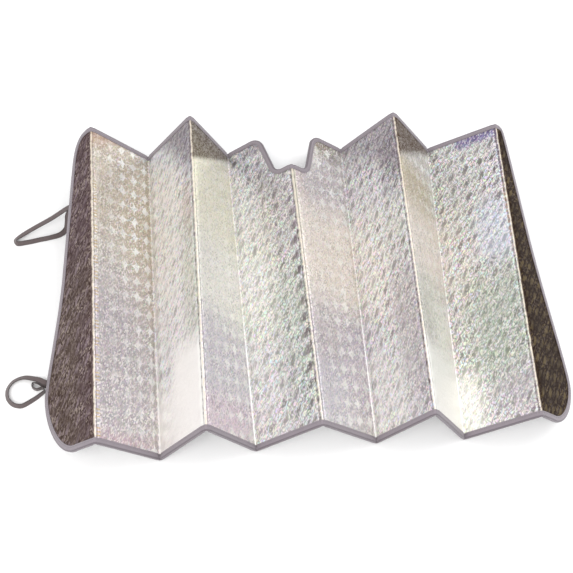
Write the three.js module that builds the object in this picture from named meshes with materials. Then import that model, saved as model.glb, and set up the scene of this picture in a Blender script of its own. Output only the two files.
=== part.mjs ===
// Windscreen sunshade: one sheet of metallised bubble film in ten panels, bound all
// round with tape, with two elastic loops sewn to its left edge. It lies part unfolded
// on a flat surface, with its odd creases up.
//
// The sheet is drawn flat first: u runs across it from the centre crease, v runs along
// the creases from the bottom edge to the top edge, and t is the height above the
// middle of its thickness. fold() then takes a flat point to its folded place, in
// millimetres, with +X across the shade, +Y to its top edge and +Z up.
import * as THREE from 'three';

// Sheet, drawn flat
const PANEL_WIDTH = 145;
const SHEET_HEIGHT = 617;
const SHEET_THICKNESS = 4;
const BOTTOM_BOW = 6.4;
const TOP_BOW = 12.6;

// Creases: the film is pressed thin over a narrow land and bent round a small radius
const CREASE_THICKNESS = 1.5;
const CREASE_LAND = 4;
const CREASE_RAMP = 3;
const BEND_INSIDE = 0.6;

// How far the shade is unfolded: the angle between the two panels at each ridge, in
// degrees, and the height of each valley over the surface, at both ends of the creases
const RIDGE_ANGLES_BOTTOM = [81, 64, 87, 62, 95];
const RIDGE_ANGLES_TOP = [75, 58, 102, 71, 110];
const VALLEY_LIFTS_BOTTOM = [0, 3, 1.5, 0];
const VALLEY_LIFTS_TOP = [9, 0, 3, 3];
const LEFT_END_SLOPE = 50;
const RIGHT_END_SLOPE = 46;

// Mirror notch in the middle of the top edge
const NOTCH_DEPTH = 98;
const NOTCH_FLOOR_HALF = 35;
const NOTCH_MOUTH_HALF = 65;
const NOTCH_FLOOR_RADIUS = 20;
const NOTCH_MOUTH_RADIUS = 30;

// Outline of each end panel: a round foot, a waist and a round shoulder. Widths are
// from the outer crease, rises from the bottom edge, drops from the top edge
const END_CORNER = 16;
const LEFT_END = {
  footTrim: 2,
  footStart: 50,
  footLift: 4,
  footRise: 122,
  waistWidth: 90,
  waistRise: 331,
  shoulderWidth: 57,
  shoulderDrop: 57,
};
const RIGHT_END = {
  footTrim: 11,
  footStart: 44,
  footLift: 1,
  footRise: 92,
  waistWidth: 66,
  waistRise: 372,
  shoulderWidth: 38,
  shoulderDrop: 69,
};

// How full each curve of an end panel is drawn, as shares of the stretch it covers
const FOOT_SOLE = 0.5;
const FOOT_TOE = 0.42;
const FLANK_START = 0.14;
const FLANK_FLARE = 0.38;
const SHOULDER_RISE = 0.67;
const SHOULDER_TOP = 0.5;

// Binding tape, folded over the raw edge. Its nose is the rounded fold, over a short
// run, where the tape keeps only a share of its height.
const TAPE_WIDTH = 10;
const TAPE_THICKNESS = 0.8;
const TAPE_NOSE = 1;
const NOSE_SHARE = 0.6;
const FACE_GAP = 0.3;
const RAW_EDGE_CLEARANCE = 1;

// Elastic loops
const STRAP_WIDTH = 10;
const STRAP_THICKNESS = 1.4;
const STRAP_TUCK = 15;
const STRAP_EXIT = -1;
const STRAP_GAP = 0.3;
const UPPER_STRAP_RISE = 476;
const LOWER_STRAP_RISE = 150;
const HALF_TWIST = 180;

// Facets: rows of the sheet along its creases, strips of a flat panel, and steps of
// each curve. Points that lie closer than the spacing are left out, and so are those
// within the tip of the sheet at its two ends.
const ROWS = 5;
const PANEL_STRIPS = 4;
const CURVE_STEPS = 9;
const FILLET_STEPS = 7;
const WAIST_STEPS = 3;
const STRAP_STEPS = 54;
const SPACING = 0.05;
const TIP = 0.5;

const radians = THREE.MathUtils.degToRad;
const lerp = THREE.MathUtils.lerp;

// Values that follow from the sizes above
const bendRadius = CREASE_THICKNESS / 2 + FACE_GAP + TAPE_THICKNESS + BEND_INSIDE;
const creaseCount = RIDGE_ANGLES_BOTTOM.length + VALLEY_LIFTS_BOTTOM.length;
const outerCrease = (creaseCount - 1) / 2;
const outerCreaseU = outerCrease * PANEL_WIDTH;
const bottomV = -SHEET_HEIGHT / 2;
const topV = SHEET_HEIGHT / 2;

// Corners of the zigzag section at one end of the creases, from the left end of the
// sheet to the right, with the centre crease at x = 0. y stands for the height here.
function zigzag(ridgeAngles, valleyLifts) {
  const heights = [];
  ridgeAngles.forEach((angle, index) => {
    heights.push(PANEL_WIDTH * Math.cos(radians(angle / 2)));
    if (index < valleyLifts.length) heights.push(valleyLifts[index]);
  });
  const corners = [new THREE.Vector2(0, heights[0])];
  for (let index = 1; index < heights.length; index += 1) {
    const rise = heights[index] - heights[index - 1];
    const run = Math.sqrt(PANEL_WIDTH ** 2 - rise ** 2);
    corners.push(new THREE.Vector2(corners[index - 1].x + run, heights[index]));
  }
  const centre = corners[outerCrease].x;
  corners.forEach((corner) => {
    corner.x -= centre;
  });
  const first = corners[0];
  const last = corners[corners.length - 1];
  corners.unshift(endCorner(first, Math.PI + radians(LEFT_END_SLOPE)));
  corners.push(endCorner(last, -radians(RIGHT_END_SLOPE)));
  return corners;
}

// The outer corner of an end panel that leaves its crease at the given angle
function endCorner(crease, angle) {
  const reach = new THREE.Vector2(Math.cos(angle), Math.sin(angle));
  return reach.multiplyScalar(PANEL_WIDTH).add(crease);
}

const bottomZigzag = zigzag(RIDGE_ANGLES_BOTTOM, VALLEY_LIFTS_BOTTOM);
const topZigzag = zigzag(RIDGE_ANGLES_TOP, VALLEY_LIFTS_TOP);

// The bend at one corner of a section: its two directions, how far it turns, the
// length that its arc takes from each panel and the distance from its tangent point
// to the sharp corner. The two outer ends of the sheet have no bend.
function bendAt(corners, index) {
  if (index === 0 || index === corners.length - 1) return { arc: 0, tangent: 0 };
  const into = corners[index].clone().sub(corners[index - 1]);
  const out = corners[index + 1].clone().sub(corners[index]);
  const entry = Math.atan2(into.y, into.x);
  const exit = Math.atan2(out.y, out.x);
  const halfTurn = Math.abs(exit - entry) / 2;
  return {
    entry,
    exit,
    side: Math.sign(exit - entry),
    arc: bendRadius * halfTurn,
    tangent: bendRadius * Math.tan(halfTurn),
  };
}

// Unit direction of a section line, and its upper normal
const along = (angle) => new THREE.Vector2(Math.cos(angle), Math.sin(angle));
const normalTo = (angle) => new THREE.Vector2(-Math.sin(angle), Math.cos(angle));

// The crease nearest to u, counted from the centre crease
function nearestCrease(u) {
  return THREE.MathUtils.clamp(Math.round(u / PANEL_WIDTH), -outerCrease, outerCrease);
}

// A flat point (u, v) at height t over the middle of the sheet, folded
function fold(u, v, t) {
  const share = v / SHEET_HEIGHT + 0.5;
  const corners = bottomZigzag.map((low, i) => low.clone().lerp(topZigzag[i], share));
  const crease = nearestCrease(u);
  const index = crease + outerCrease + 1;
  const bend = bendAt(corners, index);
  const offset = u - crease * PANEL_WIDTH;
  let middle;
  let angle;
  if (Math.abs(offset) <= bend.arc) {
    angle = lerp(bend.entry, bend.exit, (offset + bend.arc) / (2 * bend.arc));
    const start = along(bend.entry).multiplyScalar(-bend.tangent).add(corners[index]);
    const reach = bend.side * bendRadius;
    middle = start
      .add(normalTo(bend.entry).multiplyScalar(reach))
      .sub(normalTo(angle).multiplyScalar(reach));
  } else {
    const side = Math.sign(offset);
    const next = bendAt(corners, index + side);
    const length = corners[index].distanceTo(corners[index + side]);
    const straight = length - bend.tangent - next.tangent;
    const stretch = straight / (PANEL_WIDTH - bend.arc - next.arc);
    const distance = bend.tangent + (Math.abs(offset) - bend.arc) * stretch;
    angle = side > 0 ? bend.exit : bend.entry;
    middle = along(angle).multiplyScalar(side * distance).add(corners[index]);
  }
  middle.add(normalTo(angle).multiplyScalar(t));
  return new THREE.Vector3(middle.x, v, middle.y);
}

// Half the thickness of the sheet at u, where the creases are pressed thin
function halfThickness(u) {
  const toCrease = Math.abs(u - nearestCrease(u) * PANEL_WIDTH);
  const share = THREE.MathUtils.clamp((toCrease - CREASE_LAND) / CREASE_RAMP, 0, 1);
  return lerp(CREASE_THICKNESS, SHEET_THICKNESS, share) / 2;
}

// Places across the sheet where a crease needs a line of points
function creaseStations(crease) {
  const meanAngle = RIDGE_ANGLES_BOTTOM.reduce((sum, angle) => sum + angle, 0)
    / RIDGE_ANGLES_BOTTOM.length;
  const arc = bendRadius * radians(180 - meanAngle) / 2;
  const steps = [arc / 2, arc, CREASE_LAND, CREASE_LAND + CREASE_RAMP];
  const offsets = [...steps.map((step) => -step).reverse(), 0, ...steps];
  return offsets.map((offset) => crease * PANEL_WIDTH + offset);
}

// All lines of points between the two outer creases
function sheetStations() {
  const stations = [];
  for (let crease = -outerCrease; crease <= outerCrease; crease += 1) {
    stations.push(...creaseStations(crease));
    for (let strip = 1; crease < outerCrease && strip < PANEL_STRIPS; strip += 1) {
      stations.push((crease + strip / PANEL_STRIPS) * PANEL_WIDTH);
    }
  }
  return stations;
}

// Height of the two long edges, which bow towards the outer creases
const bottomEdge = (u) => bottomV - BOTTOM_BOW * (u / outerCreaseU) ** 2;
const topEdge = (u) => topV - TOP_BOW * (u / outerCreaseU) ** 2;

// A stretch of the outline is a list of its points, each with the direction inwards
const UP = new THREE.Vector2(0, 1);
const DOWN = new THREE.Vector2(0, -1);
const edgePoint = (u, v, inwards) => ({ point: new THREE.Vector2(u, v), inwards });

// A curve of the outline, run anticlockwise, so that the sheet is on its left
function curveStretch(curve, steps) {
  const stretch = [];
  for (let step = 0; step <= steps; step += 1) {
    const tangent = curve.getTangent(step / steps);
    const inwards = new THREE.Vector2(-tangent.y, tangent.x);
    stretch.push({ point: curve.getPoint(step / steps), inwards });
  }
  return stretch;
}

// Outline of an end panel from its foot to its shoulder, drawn for the right end;
// side is -1 for the left end, which mirrors it and runs it the other way
function endStretch(end, side) {
  const low = bottomEdge(outerCreaseU);
  const high = topEdge(outerCreaseU);
  const reach = PANEL_WIDTH - end.footTrim;
  const footV = low + end.footRise;
  const waistV = low + end.waistRise;
  const shoulderV = high - end.shoulderDrop;
  const cornerV = topEdge(outerCreaseU + END_CORNER);
  const slant = (end.waistWidth - end.shoulderWidth) / (shoulderV - waistV);
  const flare = (waistV - footV) * FLANK_FLARE;
  const lift = end.shoulderDrop * SHOULDER_RISE;
  const at = (width, v) => new THREE.Vector2(side * (outerCreaseU + width), v);
  const foot = new THREE.CubicBezierCurve(
    at(end.footStart, low + end.footLift),
    at(lerp(end.footStart, reach, FOOT_SOLE), low + end.footLift),
    at(reach, lerp(footV, low, FOOT_TOE)),
    at(reach, footV),
  );
  const flank = new THREE.CubicBezierCurve(
    at(reach, footV),
    at(reach, lerp(footV, waistV, FLANK_START)),
    at(end.waistWidth + flare * slant, waistV - flare),
    at(end.waistWidth, waistV),
  );
  const waist = new THREE.LineCurve(
    at(end.waistWidth, waistV),
    at(end.shoulderWidth, shoulderV),
  );
  const shoulder = new THREE.CubicBezierCurve(
    at(end.shoulderWidth, shoulderV),
    at(end.shoulderWidth - lift * slant, shoulderV + lift),
    at(lerp(END_CORNER, end.shoulderWidth, SHOULDER_TOP), cornerV),
    at(END_CORNER, cornerV),
  );
  const stretch = [
    ...curveStretch(foot, CURVE_STEPS).slice(0, -1),
    ...curveStretch(flank, CURVE_STEPS).slice(0, -1),
    ...curveStretch(waist, WAIST_STEPS).slice(0, -1),
    ...curveStretch(shoulder, CURVE_STEPS).slice(0, -1),
  ];
  if (side < 0) {
    stretch.forEach((place) => place.inwards.negate());
    stretch.reverse();
  }
  return stretch;
}

// A round corner of the notch between two straight lines through the given points
function filletStretch(before, corner, after, radius) {
  const back = before.clone().sub(corner).normalize();
  const ahead = after.clone().sub(corner).normalize();
  const halfAngle = Math.acos(back.dot(ahead)) / 2;
  const reach = radius / Math.tan(halfAngle);
  const toCentre = back.clone().add(ahead).setLength(radius / Math.sin(halfAngle));
  const centre = corner.clone().add(toCentre);
  const start = back.multiplyScalar(reach).add(corner).sub(centre).angle();
  const end = ahead.multiplyScalar(reach).add(corner).sub(centre).angle();
  const clockwise = THREE.MathUtils.euclideanModulo(end - start, 2 * Math.PI) > Math.PI;
  const arc = new THREE.EllipseCurve(
    centre.x, centre.y, radius, radius, start, end, clockwise,
  );
  return curveStretch(arc, FILLET_STEPS);
}

// Mirror notch, run from right to left along the top edge
function notchStretch() {
  const floorV = topV - NOTCH_DEPTH;
  const path = [
    new THREE.Vector2(PANEL_WIDTH, topV),
    new THREE.Vector2(NOTCH_MOUTH_HALF, topV),
    new THREE.Vector2(NOTCH_FLOOR_HALF, floorV),
    new THREE.Vector2(-NOTCH_FLOOR_HALF, floorV),
    new THREE.Vector2(-NOTCH_MOUTH_HALF, topV),
    new THREE.Vector2(-PANEL_WIDTH, topV),
  ];
  const radii = [NOTCH_MOUTH_RADIUS, NOTCH_FLOOR_RADIUS, NOTCH_FLOOR_RADIUS, NOTCH_MOUTH_RADIUS];
  const fillets = radii.map((radius, i) => filletStretch(path[i], path[i + 1], path[i + 2], radius));
  const floor = creaseStations(0).reverse().map((u) => edgePoint(u, floorV, DOWN));
  return [...fillets[0], ...fillets[1], ...floor, ...fillets[2], ...fillets[3]];
}

// The whole outline of the bound sheet, anticlockwise
function outlineOf() {
  const stations = sheetStations();
  const notch = notchStretch();
  const clearOfNotch = notch[0].point.x + TAPE_WIDTH / 2;
  const bottom = stations.map((u) => edgePoint(u, bottomEdge(u), UP));
  const top = stations.reverse().map((u) => edgePoint(u, topEdge(u), DOWN));
  return [
    ...bottom,
    ...endStretch(RIGHT_END, 1),
    ...top.filter((place) => place.point.x > clearOfNotch),
    ...notch,
    ...top.filter((place) => place.point.x < -clearOfNotch),
    ...endStretch(LEFT_END, -1),
  ];
}

const outline = outlineOf();

// A point of the outline moved inwards
function inset(place, distance) {
  return place.point.clone().addScaledVector(place.inwards, distance);
}

// A closed solid through rings of as many points each. An open run of rings is capped
// at both ends by a ladder between the two halves of the ring.
function loft(rings, closed) {
  const size = rings[0].length;
  const positions = rings.flat().flatMap((point) => [point.x, point.y, point.z]);
  const index = [];
  const quad = (a, b, c, d) => index.push(a, b, c, a, c, d);
  const count = closed ? rings.length : rings.length - 1;
  for (let ring = 0; ring < count; ring += 1) {
    const here = ring * size;
    const there = ((ring + 1) % rings.length) * size;
    for (let i = 0; i < size; i += 1) {
      const j = (i + 1) % size;
      quad(here + i, here + j, there + j, there + i);
    }
  }
  if (!closed) {
    const last = (rings.length - 1) * size;
    for (let i = 0; i < size / 2 - 1; i += 1) {
      quad(size - 1 - i, size - 2 - i, i + 1, i);
      quad(last + i, last + i + 1, last + size - 2 - i, last + size - 1 - i);
    }
  }
  const geometry = new THREE.BufferGeometry();
  geometry.setAttribute('position', new THREE.Float32BufferAttribute(positions, 3));
  geometry.setIndex(index);
  geometry.computeVertexNormals();
  geometry.computeBoundingBox();
  return geometry;
}

// Height of an edge of the sheet at u, on a run of points that goes from left to right
function heightAt(run, u) {
  const after = run.findIndex((point) => point.x >= u);
  const high = run[Math.max(after, 1)];
  const low = run[Math.max(after, 1) - 1];
  return lerp(low.y, high.y, (u - low.x) / (high.x - low.x));
}

// Folded sheet, cut to stay inside the binding
function foilSheet() {
  const edge = outline.map((place) => inset(place, TAPE_THICKNESS + RAW_EDGE_CLEARANCE));
  const across = edge.map((point) => point.x);
  const left = across.indexOf(Math.min(...across));
  const right = across.indexOf(Math.max(...across));
  const bottomRun = [...edge.slice(left), ...edge.slice(0, right + 1)];
  const topRun = edge.slice(right, left + 1).reverse();
  const inner = sheetStations();
  const shaped = topRun.map((point) => point.x).filter((u) => {
    const inNotch = Math.abs(u) < NOTCH_MOUTH_HALF + NOTCH_MOUTH_RADIUS;
    const inEnd = Math.abs(u) > outerCreaseU + CREASE_LAND + CREASE_RAMP;
    const atTip = u < edge[left].x + TIP || u > edge[right].x - TIP;
    return inNotch || (inEnd && !atTip);
  });
  const stations = [...shaped, ...inner].sort((a, b) => a - b);
  const apart = stations.filter((u, i) => i === 0 || u - stations[i - 1] > SPACING);
  const rings = apart.map((u) => {
    const low = heightAt(bottomRun, u);
    const high = heightAt(topRun, u);
    const half = halfThickness(u);
    const upper = [];
    const lower = [];
    for (let row = 0; row <= ROWS; row += 1) {
      const v = lerp(low, high, row / ROWS);
      lower.push(fold(u, v, -half));
      upper.unshift(fold(u, v, half));
    }
    return [...lower, ...upper];
  });
  return loft(rings, false);
}

// Binding tape: a narrow U over the raw edge, all round the sheet
function edgeBinding() {
  const rings = outline.map((place) => {
    const inner = (u) => halfThickness(u) + FACE_GAP;
    const outer = (u) => inner(u) + TAPE_THICKNESS;
    const nose = (u) => outer(u) * NOSE_SHARE;
    const section = [
      [TAPE_WIDTH, outer, 1],
      [TAPE_NOSE, outer, 1],
      [0, nose, 1],
      [0, nose, -1],
      [TAPE_NOSE, outer, -1],
      [TAPE_WIDTH, outer, -1],
      [TAPE_WIDTH, inner, -1],
      [TAPE_THICKNESS, inner, -1],
      [TAPE_THICKNESS, inner, 1],
      [TAPE_WIDTH, inner, 1],
    ];
    return section.map(([distance, level, side]) => {
      const flat = inset(place, distance);
      return fold(flat.x, flat.y, side * level(flat.x));
    });
  });
  return loft(rings, true);
}

// The place on the left end's outline that lies at v
function leftEdgeAt(v) {
  const run = outline.filter((place) => place.point.x < -outerCreaseU - END_CORNER);
  const after = run.findIndex((place) => place.point.y <= v);
  const above = run[after - 1];
  const below = run[after];
  const share = (above.point.y - v) / (above.point.y - below.point.y);
  const point = above.point.clone().lerp(below.point, share);
  const inwards = above.inwards.clone().lerp(below.inwards, share).normalize();
  return { point, inwards };
}

// One end of a strap, sewn flat under the binding: its points from the inner end to
// where it leaves the edge. The second layer lies under the first.
function sewnEnd(place, layer) {
  const facing = SHEET_THICKNESS / 2 + FACE_GAP + TAPE_THICKNESS;
  const depth = facing + (layer + 1) * STRAP_GAP + (layer + 0.5) * STRAP_THICKNESS;
  const width = new THREE.Vector2(place.inwards.y, -place.inwards.x);
  return [STRAP_TUCK, STRAP_TUCK / 2, STRAP_EXIT].map((distance) => {
    const flat = inset(place, distance);
    const beside = flat.clone().add(width);
    const centre = fold(flat.x, flat.y, -depth);
    return { centre, width: fold(beside.x, beside.y, -depth).sub(centre).normalize() };
  });
}

// The free part of a strap. Each row gives a place from the strap's exit, its height
// as a share of the exit's height over the surface, and how far the ribbon leans from
// lying flat, in degrees.
function freePart(exit, floor, rows) {
  const centres = rows.map(([x, y, share, lean]) => {
    const tilt = radians(lean);
    const rest = STRAP_WIDTH * Math.sin(tilt) + STRAP_THICKNESS * Math.abs(Math.cos(tilt));
    const z = floor + rest / 2 + share * (exit.z - floor);
    return new THREE.Vector3(exit.x + x, exit.y + y, z);
  });
  return rows.map(([, , , lean], i) => {
    const before = centres[Math.max(i - 1, 0)];
    const after = centres[Math.min(i + 1, rows.length - 1)];
    const heading = after.clone().sub(before).normalize();
    const level = new THREE.Vector3(-heading.y, heading.x, 0).normalize();
    const upright = heading.clone().cross(level);
    const width = level.multiplyScalar(Math.cos(radians(lean)));
    return { centre: centres[i], width: width.addScaledVector(upright, Math.sin(radians(lean))) };
  });
}

// Ribbon through a run of places, each with its width direction
function ribbon(places) {
  const curve = new THREE.CatmullRomCurve3(places.map((place) => place.centre));
  const rings = [];
  for (let step = 0; step <= STRAP_STEPS; step += 1) {
    const t = step / STRAP_STEPS;
    const at = Math.min(Math.floor(t * (places.length - 1)), places.length - 2);
    const share = t * (places.length - 1) - at;
    const tangent = curve.getTangent(t);
    const width = places[at].width.clone().lerp(places[at + 1].width, share);
    width.addScaledVector(tangent, -width.dot(tangent)).setLength(STRAP_WIDTH / 2);
    const depth = tangent.clone().cross(width).setLength(STRAP_THICKNESS / 2);
    const centre = curve.getPoint(t);
    rings.push([[1, 1], [-1, 1], [-1, -1], [1, -1]].map(([w, d]) => (
      centre.clone().addScaledVector(width, w).addScaledVector(depth, d)
    )));
  }
  return loft(rings, false);
}

// A strap loop: out from the edge, round its free part, and back under its first end.
// A ribbon that comes back with no half twist in it has its width turned round there.
function strap(rise, floor, rows) {
  const place = leftEdgeAt(bottomEdge(outerCreaseU) + rise);
  const first = sewnEnd(place, 0);
  const second = sewnEnd(place, 1).reverse();
  const lastLean = rows[rows.length - 1][3];
  if (lastLean < HALF_TWIST / 2) second.forEach((end) => end.width.negate());
  const exit = first[first.length - 1].centre;
  return ribbon([...first, ...freePart(exit, floor, rows), ...second]);
}

// Route of the upper loop: a slant down to the surface, a leaning turn, the way back
// along the surface, and a rise to the edge under the first end
const UPPER_ROUTE = [
  [-13, 1, 0.79, 2],
  [-40, -6, 0.5, 4],
  [-72, -15, 0.25, 8],
  [-97, -24, 0.07, 14],
  [-109, -33, 0.012, 40],
  [-106, -41, 0.012, 58],
  [-88, -40, 0.008, 64],
  [-64, -35, 0.005, 66],
  [-44, -31, 0.005, 64],
  [-27, -25, 0.01, 52],
  [-17, -17, 0.1, 30],
  [-13, -10, 0.34, 8],
  [-11, -4, 0.58, -10],
];

// Route of the lower loop: a leaning round loop, and a small curl on edge beside the
// sheet, with a half twist before it comes back
const LOWER_ROUTE = [
  [-8, 2, 1.7, 4],
  [-17, 7, 1.65, 10],
  [-28, 11, 1.1, 20],
  [-45, 15, 0.2, 30],
  [-61, 9, 0, 38],
  [-70, -5, 0, 46],
  [-69, -21, 0, 54],
  [-60, -33, 0, 60],
  [-46, -37, 0, 64],
  [-31, -30, 0, 68],
  [-15, -19, 0, 76],
  [-8, -12, 0, 88],
  [-12, -7, 0, 92],
  [-21, -9, 0, 92],
  [-29, -4, 0, 92],
  [-28, 4, 0, 104],
  [-18, 3, 0.05, 140],
  [-9, 0, 0.1, 174],
];

function piece(name, geometry, colour, roughness, metalness) {
  const material = new THREE.MeshStandardMaterial({ color: colour, roughness, metalness });
  const mesh = new THREE.Mesh(geometry, material);
  mesh.name = name;
  return mesh;
}

const bindingGeometry = edgeBinding();
const floor = bindingGeometry.boundingBox.min.z;

const shade = new THREE.Group();
shade.add(
  piece('foil_sheet', foilSheet(), 0xc9c4c0, 0.25, 0.9),
  piece('edge_binding', bindingGeometry, 0x8d858c, 0.8, 0),
  piece('upper_strap', strap(UPPER_STRAP_RISE, floor, UPPER_ROUTE), 0x574d4d, 0.9, 0),
  piece('lower_strap', strap(LOWER_STRAP_RISE, floor, LOWER_ROUTE), 0x574d4d, 0.9, 0),
);

// The origin is on the surface, under the middle of the whole shade
const extent = new THREE.Box3().setFromObject(shade);
const centre = extent.getCenter(new THREE.Vector3());
shade.position.set(-centre.x, -centre.y, -extent.min.z);

export default shade;
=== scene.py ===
"""Windscreen sunshade, dressed: holographic film on bubble film, stitched edging tape and elastic loops.

The folded pattern is the one in the part's source, here in metres. u runs across the flat sheet from the
centre crease, v runs along the creases from the bottom edge to the top edge, and t is the height over the
middle of the film's thickness.
"""

import logging
import math
from collections.abc import Callable, Sequence
from dataclasses import dataclass, field
from enum import Enum

import bmesh
import bpy
from mathutils import Matrix, Vector, noise


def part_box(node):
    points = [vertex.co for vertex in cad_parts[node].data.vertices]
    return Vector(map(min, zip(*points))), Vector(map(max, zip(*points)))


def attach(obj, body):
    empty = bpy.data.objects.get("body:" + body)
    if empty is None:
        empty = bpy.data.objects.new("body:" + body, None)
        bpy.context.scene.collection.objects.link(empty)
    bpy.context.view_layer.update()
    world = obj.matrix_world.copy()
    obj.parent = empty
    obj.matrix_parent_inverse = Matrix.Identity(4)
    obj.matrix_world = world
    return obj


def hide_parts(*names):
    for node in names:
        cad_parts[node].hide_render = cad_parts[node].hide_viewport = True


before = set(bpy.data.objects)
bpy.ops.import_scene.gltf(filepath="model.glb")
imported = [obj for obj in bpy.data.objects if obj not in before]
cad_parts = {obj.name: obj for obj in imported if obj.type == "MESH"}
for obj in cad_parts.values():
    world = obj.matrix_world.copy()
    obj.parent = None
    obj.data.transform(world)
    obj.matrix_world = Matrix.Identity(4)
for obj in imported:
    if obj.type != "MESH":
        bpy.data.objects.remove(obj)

LOG = logging.getLogger("sunshade")
BODY = "root"
TURN = 2 * math.pi
HALF_TURN = 180
TINY = 1e-9
WELD = 1e-6
Colour = tuple[float, float, float]


def lerp(low: float, high: float, share: float) -> float:
    """The value at a share of the way from low to high."""
    return low + (high - low) * share


def clamp(value: float, low: float = 0.0, high: float = 1.0) -> float:
    """The value, kept between low and high."""
    return max(low, min(high, value))


def ease(value: float, low: float, high: float) -> float:
    """A smooth step from 0 at low to 1 at high."""
    share = clamp((value - low) / (high - low))
    return share * share * (3 - 2 * share)


def paint(red: int, green: int, blue: int) -> Colour:
    """A colour given as it looks on a screen, 0 to 255, as the linear values that a shader takes."""
    return tuple(
        ((part / 255 + 0.055) / 1.055) ** 2.4 if part > 10 else part / 255 / 12.92
        for part in (red, green, blue)
    )


class Side(Enum):
    """The two ends of the shade, with the direction that each end panel runs in."""

    LEFT = -1
    RIGHT = 1


@dataclass(frozen=True)
class Place:
    """A point of the flat outline and the direction inwards from it.

    Args:
        point: the point, as (u, v).
        inwards: the unit direction into the sheet.
    """

    point: Vector
    inwards: Vector

    def inset(self, distance: float) -> Vector:
        """The point moved inwards by a distance."""
        return self.point + self.inwards * distance

    def blend(self, other: "Place", share: float) -> "Place":
        """The place at a share of the way to another one."""
        point = self.point.lerp(other.point, share)
        return Place(point, self.inwards.lerp(other.inwards, share).normalized())


@dataclass(frozen=True)
class Bend:
    """The bend at one corner of a zigzag section.

    Args:
        entry: direction of the panel before the corner, in radians.
        exit: direction of the panel after the corner, in radians.
        arc: length that half the bend takes from each panel.
        tangent: distance from the sharp corner to where the bend starts.
    """

    entry: float = 0.0
    exit: float = 0.0
    arc: float = 0.0
    tangent: float = 0.0


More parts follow.
